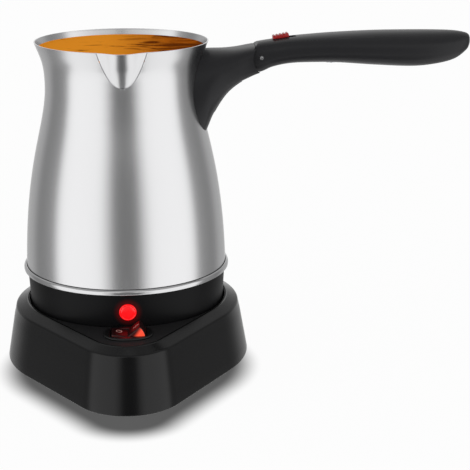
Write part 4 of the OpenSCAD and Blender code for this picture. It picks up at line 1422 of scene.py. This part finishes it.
@dataclass
class Handle:
    """The neck on the pot and the grip that folds on it."""

    pin: Flat = (65.5, 147.7)
    rise: float = 8.0
    mouth: Flat = (3.7, -0.2)
    mouth_r: float = 8.5
    tongue_half: float = 4.2
    knuckle_r: float = 4.6
    fork_in: float = 4.5
    grip_l: float = 101.0
    lid_t: float = 1.7
    screw_x: Flat = (34.0, 80.0)
    button: Flat = (7.0, 6.9)
    button_l: float = 7.8
    button_half: float = 2.3
    button_h: float = 1.8
    travel: float = 4.0
    pin_r: float = 1.05
    pin_reach: float = 8.8
    # how far the neck's cheeks lap over the grip's sides, and where the insert starts and ends
    cheek: float = 0.5
    insert_x: Flat = (-22, -9.2)
    # the spring's coil: its radius, its wire's radius, its turns and the steps of a turn
    coil_r: float = 1.3
    wire_r: float = 0.3
    turns: int = 6
    turn_steps: int = 12
    # where along the slide the spring's wire starts and ends, and how high it lies
    spring_u: Flat = (15.35, 22.65)
    spring_w: float = 2.5
    # distance from the pin, lower edge, upper edge, half width, squareness
    neck_rows: tuple[tuple[float, ...], ...] = (
        (-36, -49.5, 3.8, 16.8, 2.2), (-27.5, -38.4, 3.7, 16.3, 2.2),
        (-22.7, -27.5, 3.65, 15.5, 2.3), (-16.9, -18.1, 3.6, 14.2, 2.5),
        (-11.2, -12.7, 3.95, 13.2, 2.9), (-5.5, -9.6, 4.8, 12.3, 3.4), (1.5, -6.9, 5.9, 12, 3.6),
    )
    grip_rows: tuple[tuple[float, ...], ...] = (
        (-9, -10, 5, 8.6, 2.6), (0.3, -7.5, 6.85, 8.6, 2.6), (6, -5.1, 7.65, 8.7, 2.6),
        (14.6, -3.5, 8.9, 9.6, 2.6), (26.1, -3.2, 9.85, 10.8, 2.5), (37.7, -3.5, 10.55, 11.9, 2.4),
        (55, -4.85, 11.2, 12.6, 2.3), (72.5, -5.7, 11.25, 12.6, 2.3),
        (84.2, -4.75, 11.1, 11.7, 2.3), (93, -2.65, 10.75, 9.4, 2.3), (98.5, 0.9, 9.9, 6.2, 2.2),
        (100.4, 3.2, 8.9, 3.4, 2.1), (101, 5.2, 7.2, 1.1, 2),
    )

    def side(self, x: float, y: float, z: float) -> Point:
        """Places a point that is measured from the pin."""
        return (self.pin[0] + x, y, self.pin[1] + z)

    def slide(self, u: float, y: float, w: float) -> Point:
        """Places a point that is measured along the latch's slide."""
        a = math.radians(self.rise)
        return self.side(u * math.cos(a) - w * math.sin(a), y, u * math.sin(a) + w * math.cos(a))

    def loft(
        self, name: str, rows: Sequence[Sequence[float]], drop_by: float = 0.0,
    ) -> bpy.types.Object:
        """Draws an oval section along the handle.

        Args:
            name: Name of the piece.
            rows: Stations of the handle.
            drop_by: How far the whole form lies lower.

        Returns:
            The form.
        """
        sections = []
        for x, low, high, half_w, square in smooth_rows(rows, 10):
            middle, half_h = (low + high) / 2 - drop_by, (high - low) / 2
            ring = oval(half_w, half_h, square, 144)
            sections.append([self.side(x, y, middle + z) for y, z in ring])
        return skin(name, sections)

    def cross_slab(self, name: str, outline: Sequence[Flat], half: float) -> bpy.types.Object:
        """Extrudes a side outline across the handle, to both sides."""
        return slab(name, [self.side(x, -half, z) for x, z in outline], (0, 2 * half, 0))

    def slide_block(self, name: str, low: Point, high: Point) -> bpy.types.Object:
        """Extrudes a block that is square to the latch's slide."""
        outline = [(low[0], low[2]), (high[0], low[2]), (high[0], high[2]), (low[0], high[2])]
        return slab(name, [self.slide(u, low[1], w) for u, w in outline], (0, high[1] - low[1], 0))

    def mouth_outline(self, radius: float, reach: float) -> list[Flat]:
        """Draws the round mouth and all beyond it."""
        x, z = self.mouth
        beyond = [(reach, z - 30), (reach, z + 30), (x, z + 30)]
        return beyond + arc(self.mouth, radius, 90, 270, 64) + [(x, z - 30)]

    def pin_hole(self, half: float) -> bpy.types.Object:
        """Extrudes the pin's bore, for cutting."""
        return self.cross_slab("pin_hole", circle((0, 0), self.pin_r, 48), half)

    def insert_outline(self, gap: float, depth: float) -> list[Flat]:
        """Draws the side outline of the insert under the neck."""
        start, end = self.insert_x[0] - gap, self.insert_x[1] + gap
        rows = smooth_rows(self.neck_rows, 4)
        edge = [(r[0], r[1] + depth) for r in rows if start - 3 < r[0] < end + 3]
        ends = []
        for x in (start, end):
            before = max(p for p in edge if p[0] <= x)
            after = min(p for p in edge if p[0] > x)
            ends.append((x, mix(before[1], after[1], (x - before[0]) / (after[0] - before[0]))))
        inside = [p for p in edge if start < p[0] < end]
        return [ends[0]] + inside + [ends[1], (end, -60), (start, -60)]

    def neck(self, wall: WallShape) -> bpy.types.Object:
        """Draws the neck, fits it to the wall and opens its mouth.

        Args:
            wall: The pot's wall.

        Returns:
            The neck with its tongue.
        """
        neck = self.loft("neck", self.neck_rows)
        rows = [wall.curve(2 - i / 20) for i in range(20)]
        rows += [wall.curve(1 - i / 24) for i in range(25)]
        over = [(0, 156.5), (rows[0][0] + 0.3, 156.5)]
        face = [(r + 0.05, z) for r, z in rows]
        body = lathe("wall_space", over + face + [(0, rows[-1][1])], 256)
        mouth = self.cross_slab(
            "mouth_space", self.mouth_outline(self.mouth_r - self.cheek, 60), 30,
        )
        socket = self.cross_slab("socket_space", circle(self.mouth, self.mouth_r, 120), 9.4)
        # room for the fork as the grip folds down
        swept = arc((-0.2, -3.7), 8.6, 0, 180, 48)[1:]
        outline = [(8.4, -60), (8.4, -3.7)] + swept + [(-8.8, -60)]
        fold = self.cross_slab("fold_space", outline, 30)
        foot = [(self.pin[0] + 0.1 + x, y, self.pin[1] - 70) for x, y in oval(8.8, 9.4, 3.6, 96)]
        meet(fold, Join.KEEP, slab("shaft", foot, (0, 0, 100)))
        place = self.cross_slab("insert_space", self.insert_outline(0.15, 1.9), 7.15)
        meet(neck, Join.CUT, body, mouth, socket, fold, place)
        return meet(neck, Join.ADD, self.tongue())

    def tongue(self) -> bpy.types.Object:
        """Draws the tongue that the fork turns on, with a pocket for the bolt at each limit."""
        edge = arc((0, 0), self.knuckle_r, 90, -126, 48)
        outline = [(-13, 2.6), (-4, 3.9)] + edge + [(-13, -4.4)]
        tongue = self.cross_slab("tongue", outline, self.tongue_half)
        meet(tongue, Join.CUT, self.pin_hole(9))
        hole = [(3.1, 0.7), (6.6, 0.7), (6.6, 4.3), (3.1, 4.3)]
        for turn in (0, 90):
            a = math.radians(turn - self.rise)
            cos, sin = math.cos(a), math.sin(a)
            pocket = [(x * cos + z * sin, z * cos - x * sin) for x, z in hole]
            meet(tongue, Join.CUT, self.cross_slab("bolt_pocket", pocket, 3.3))
        return tongue

    def insert(self) -> bpy.types.Object:
        """Trims a lower copy of the neck to the insert that hides its screw."""
        insert = self.loft("neck_plug", self.neck_rows, 0.3)
        reach = self.cross_slab("insert_reach", self.insert_outline(0, 1.85), 7)
        return meet(insert, Join.KEEP, reach)

    def parting(self, name: str, drop_by: float) -> bpy.types.Object:
        """Extrudes all above the parting line, which follows the grip's top."""
        rows = smooth_rows(self.grip_rows, 8)
        line = [(r[0], r[2] - drop_by) for r in rows]
        past = self.grip_l + 5
        return self.cross_slab(name, line + [(past, line[-1][1]), (past, 40), (-9, 40)], 30)

    def grip_form(self, name: str) -> bpy.types.Object:
        """Draws the grip's whole form, with the round front that sits in the mouth."""
        form = self.loft(name, self.grip_rows)
        outline = self.mouth_outline(self.mouth_r - 0.3, self.grip_l + 10)
        return meet(form, Join.KEEP, self.cross_slab("front", outline, 30))

    def grip(self) -> tuple[bpy.types.Object, bpy.types.Object]:
        """Parts the grip's form into its body and its cover.

        Returns:
            The body and the cover.
        """
        body = self.grip_form("grip_shell")
        cover = twin(body, "grip_lid")
        slot = block(
            "tongue_slot", self.side(-20, -self.fork_in, -30),
            self.side(self.knuckle_r + 0.6, self.fork_in, 30),
        )
        channel = self.slide_block("channel", (0, -3.3, 0.7), (23, 3.3, 20))
        wells = []
        for x in self.screw_x:
            # a wide well up to the head, then the thread's bore
            for r, top in ((2.6, -2.6), (1.4, 20)):
                outline = [self.side(u, v, -30) for u, v in circle((x, 0), r, 48)]
                wells.append(slab("screw_well", outline, (0, 0, 30 + top)))
        above = self.parting("above", self.lid_t + 0.04)
        meet(body, Join.CUT, above, slot, channel, self.pin_hole(30), *wells)
        # the button's recess is 0.25 mm wider than the button, and as long as its travel needs
        start, half = self.button[0] - 0.25, self.button_half + 0.25
        end = self.button[0] + self.button_l + self.travel + 0.6
        recess = self.slide_block("recess", (start, -half, 6.65), (end, half, 20))
        post = self.slide_block("post_slot", (8.7, -2.3, 0), (18.1, 2.3, 20))
        meet(cover, Join.KEEP, self.parting("lid", self.lid_t))
        return body, meet(cover, Join.CUT, recess, post)

    def hinge_pin(self) -> bpy.types.Object:
        """Draws the pin out with a deep hollow in each end, as on a semi-tubular rivet.

        Returns:
            The pin.
        """
        # radius, and distance from the end
        half = [(0.08, 2.2), (0.58, 1.9), (0.6, 0.1), (0.68, 0), (0.9, 0), (1, 0.12)]
        rows = [(r, y - self.pin_reach) for r, y in half]
        rows += [(r, self.pin_reach - y) for r, y in reversed(half)]
        return skin("hinge_rivet", [
            [self.side(x, y, z) for x, z in circle((0, 0), r, 48)] for r, y in rows
        ])

    def latch_button(self) -> bpy.types.Object:
        """Draws the ribbed button.

        Returns:
            The button.
        """
        start, low = self.button
        ribs = 5
        pitch = self.button_l / ribs
        # the ribs' middles climb by 0.4 mm to the far end
        first = low + self.button_h - 0.9
        outline = [(start, low), (start + self.button_l, low)]
        for i in reversed(range(ribs)):
            x = (i + 0.5) * pitch
            outline += arc((start + x, first + 0.4 * x / self.button_l), pitch * 0.44, 10, 170, 10)
        side = [self.slide(u, -self.button_half, w) for u, w in outline]
        return soften(slab("button", side, (0, 2 * self.button_half, 0)), 0.3, 2, 40)

    def spring(self) -> bpy.types.Object:
        """Winds the coil spring behind the latch bolt.

        Returns:
            The spring.
        """
        rounds = self.turns * self.turn_steps
        ring = circle((0, self.coil_r), self.wire_r, 8)
        sections = []
        for i in range(rounds + 1):
            a = math.tau * i / self.turn_steps
            u = mix(*self.spring_u, i / rounds)
            sections.append([
                self.slide(u + du, r * math.cos(a), self.spring_w + r * math.sin(a))
                for du, r in ring
            ])
        return skin("spring", sections)

    def squeeze(self, spring: bpy.types.Object) -> None:
        """Gives the spring a mesh of its own."""
        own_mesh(spring)

    def build(self, nodes: dict[str, bpy.types.Object], wall: WallShape) -> None:
        """Makes and dresses the handle's pieces.

        Args:
            nodes: The frame's nodes, by name.
            wall: The pot's wall, which the neck fits.
        """
        finish_piece(self.neck(wall), Body.POT, SATIN, "handle_neck")
        finish_piece(self.insert(), Body.POT, SATIN, "neck_insert")
        body, cover = self.grip()
        finish_piece(body, Body.GRIP, SATIN, "grip_body")
        finish_piece(cover, Body.GRIP, SATIN, "grip_cover")
        finish_piece(self.latch_button(), Body.LATCH, ACETAL, "latch_button", angle=50)
        finish_piece(self.hinge_pin(), Body.GRIP, BRIGHT, "fold_pin", angle=50)
        spring = finish_piece(self.spring(), Body.GRIP, WIRE, "latch_spring", angle=60)
        self.squeeze(spring)
        dress_nodes(nodes, {"grip_screws": ZINC, "latch_bolt": SATIN})


# ---------------------------------------------------------------- studio


@dataclass(frozen=True)
class Layer:
    """Brightness round the room at one height.

    Attributes:
        stops: Angles from the spout's side, in degrees, each with a level.
        heights: The two heights, as sines, over which it takes over from the layers before.
    """

    stops: tuple[Flat, ...]
    heights: Flat = (0, 0)


@dataclass
class Studio:
    """The camera, the floor and the light round them."""

    lens: float = 101.18
    place: Point = (1.25, -623.3, 245.8)
    tilt: float = 73.35
    turn: float = -4.8
    # radii and distance of the painted soft shadow's two ends, and how far it lies towards the
    # spout
    shadow: Point = (59.5, 26.5, 57.5)
    slip: float = 20.0
    # where the painted shadow is full and where it ends, from its outline, and its darkest shade
    fade: Flat = (-10.0, 5.8)
    darkest: float = 0.11
    # how far the floor shines by itself, instead of being lit, for the rays that show it
    shine: float = 0.95
    # eye level, with a dark gap in front, a panel on each side and a dim room behind
    eye_level: Layer = Layer((
        (0, 0.24), (12, 0.24), (22, 1.0), (30, 1.42), (80, 1.45), (93, 0.38), (118, 0.31),
        (138, 0.55), (180, 0.6),
    ))
    layers: tuple[Layer, ...] = (
        # a band above eye level, which reaches further to the front than the panels
        Layer((
            (0, 0.3), (5, 0.3), (9, 1.5), (22, 1.5), (34, 1.42), (80, 1.45), (94, 0.42),
            (122, 0.36), (138, 0.5), (180, 0.5),
        ), (0.3, 0.37)),
        # the even ceiling
        Layer(((0, 0.55), (180, 0.55)), (0.46, 0.6)),
        # then three layers down to the floor
        Layer((
            (0, 1.2), (24, 1.2), (36, 1.4), (80, 1.4), (94, 0.42), (122, 0.36), (138, 0.5),
            (180, 0.5),
        ), (-0.44, -0.48)),
        Layer((
            (0, 0.3), (24, 0.3), (40, 1.3), (102, 1.35), (116, 0.7), (138, 0.5), (180, 0.5),
        ), (-0.58, -0.64)),
        Layer((
            (0, 0.17), (44, 0.2), (62, 0.9), (74, 1.3), (105, 1.3), (125, 0.6), (180, 0.6),
        ), (-0.82, -0.88)),
    )
    # angles between which the white backdrop starts, for what metal and glass show
    backdrop: Flat = (158, 172)

    def camera(self) -> None:
        """Sets up the camera."""
        select_only()
        bpy.ops.object.camera_add(
            location=[v * MM for v in self.place],
            rotation=(math.radians(self.tilt), 0, math.radians(self.turn)),
        )
        camera = bpy.context.object
        camera.data.sensor_width = 36
        camera.data.lens = self.lens
        bpy.context.scene.camera = camera

    def floor(self) -> None:
        """Lays a pale floor with a painted soft shadow round the base, which keeps a faint share of
        the object's real shadow and isn't mirrored itself.
        """
        select_only()
        bpy.ops.mesh.primitive_plane_add(size=8)
        floor = bpy.context.object
        floor.name = "floor"
        paper = bpy.data.materials.new("floor_paper")
        paper.use_nodes = True
        tree = paper.node_tree
        tree.nodes.clear()
        # the floor's colour carries a painted soft shadow round the base
        painted_floor_shade = self.painted_contact_shadow(tree)
        matt = add_node(tree, "ShaderNodeBsdfDiffuse", None, {"Color": painted_floor_shade})
        white = add_node(tree, "ShaderNodeEmission", None, {"Color": painted_floor_shade, "Strength": 1.0})
        path = add_node(tree, "ShaderNodeLightPath")
        share = sums(tree, "MULTIPLY", self.seen_ray(tree, path), self.shine)
        shown = add_node(tree, "ShaderNodeMixShader", None, {
            0: share, 1: matt.outputs[0], 2: white.outputs[0],
        })
        add_node(tree, "ShaderNodeOutputMaterial", None, {"Surface": shown.outputs[0]})
        floor.data.materials.append(paper)
        floor.visible_glossy = False

    def seen_ray(self, tree: bpy.types.NodeTree, path: bpy.types.Node) -> bpy.types.NodeSocket:
        """Returns 1 for the rays that show the background.

        Args:
            tree: Tree that the nodes go into.
            path: Its light path node.

        Returns:
            1 for the camera's rays and for those off metal and through glass, and 0 for others.
        """
        glossy, through = path.outputs["Is Glossy Ray"], path.outputs["Is Transmission Ray"]
        indirect = sums(tree, "MAXIMUM", glossy, through)
        return sums(tree, "MAXIMUM", path.outputs["Is Camera Ray"], indirect)

    def painted_contact_shadow(self, tree: bpy.types.NodeTree) -> bpy.types.NodeSocket:
        """Paints a soft shadow on the floor close to the base, by the distance from an outline like
        the base's own.

        Args:
            tree: The floor's tree.

        Returns:
            The floor's painted shade.
        """
        (back, nose, reach), slip = self.shadow, self.slip
        slope = (back - nose) / reach
        where = add_node(tree, "ShaderNodeTexCoord").outputs["Object"]
        parts = add_node(tree, "ShaderNodeSeparateXYZ", None, {"Vector": where})
        across = sums(tree, "ABSOLUTE", sums(tree, "MULTIPLY", parts.outputs["X"], 1 / MM))
        along = sums(tree, "SUBTRACT", sums(tree, "MULTIPLY", parts.outputs["Y"], -1 / MM), slip)
        lean = sums(tree, "MULTIPLY", across, slope / math.sqrt(1 - slope ** 2))
        share = sums(tree, "DIVIDE", sums(tree, "SUBTRACT", along, lean), reach, True)
        radius = sums(tree, "ADD", sums(tree, "MULTIPLY", share, nose - back), back)
        rest = sums(tree, "SUBTRACT", along, sums(tree, "MULTIPLY", share, reach))
        squares = [sums(tree, "MULTIPLY", value, value) for value in (across, rest)]
        away = sums(tree, "SQRT", sums(tree, "ADD", *squares))
        fade = ease(tree, sums(tree, "SUBTRACT", away, radius), *self.fade, self.darkest)
        grey = {channel: fade for channel in range(3)}
        return add_node(tree, "ShaderNodeCombineColor", None, grey).outputs[0]

    def ring(
        self, tree: bpy.types.NodeTree, place: bpy.types.NodeSocket, layer: Layer,
    ) -> bpy.types.NodeSocket:
        """Adds one layer's levels round the room.

        Args:
            tree: The world's tree.
            place: Half of the way round, from 0 to 1.
            layer: The layer.

        Returns:
            The level.
        """
        ramp = add_node(tree, "ShaderNodeValToRGB", None, {"Fac": place})
        set_stops(ramp, [(a / 180, v) for a, v in layer.stops])
        ramp.color_ramp.interpolation = "EASE"
        return ramp.outputs["Color"]

    def light(self) -> None:
        """Lights the scene from a room of soft panels, in front of a white backdrop."""
        world = bpy.data.worlds.new("studio")
        bpy.context.scene.world = world
        world.use_nodes = True
        tree = world.node_tree
        tree.nodes.clear()

        way = add_node(tree, "ShaderNodeTexCoord").outputs["Generated"]
        parts = add_node(tree, "ShaderNodeSeparateXYZ", None, {"Vector": way})
        back = sums(tree, "MULTIPLY", parts.outputs["Y"], -1.0)
        angle = sums(tree, "ABSOLUTE", sums(tree, "ARCTAN2", parts.outputs["X"], back))
        place = sums(tree, "DIVIDE", angle, math.pi)
        glow = self.ring(tree, place, self.eye_level)
        for layer in self.layers:
            above = ease(tree, parts.outputs["Z"], *layer.heights)
            glow = blend(tree, above, glow, self.ring(tree, place, layer))
        room = add_node(tree, "ShaderNodeBackground", None, {"Color": glow, "Strength": 1.0})
        white = add_node(tree, "ShaderNodeBackground", None, {
            "Color": (1, 1, 1, 1), "Strength": 1.0,
        })
        path = add_node(tree, "ShaderNodeLightPath")
        behind = ease(tree, place, *(a / 180 for a in self.backdrop))
        mirrored = sums(tree, "MULTIPLY", self.seen_ray(tree, path), behind)
        shown = add_node(tree, "ShaderNodeMixShader", None, {
            0: sums(tree, "MAXIMUM", path.outputs["Is Camera Ray"], mirrored),
            1: room.outputs[0], 2: white.outputs[0],
        })
        add_node(tree, "ShaderNodeOutputWorld", None, {"Surface": shown.outputs[0]})

    def build(self) -> None:
        """Sets up everything round the object."""
        self.camera()
        self.floor()
        self.light()
        bpy.context.scene.view_settings.view_transform = "Standard"


def main() -> None:
    """Loads the frame, sets the studio up and makes the piece groups in order."""
    logging.basicConfig(level=logging.INFO, format="%(name)s %(message)s")
    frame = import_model()
    Studio().build()
    pot = Pot()
    pot.build(frame["nodes"])
    Base().build(frame["nodes"])
    Rocker().build()
    Handle().build(frame["nodes"], pot.wall)
    select_only()


if __name__ == "__main__":
    main()
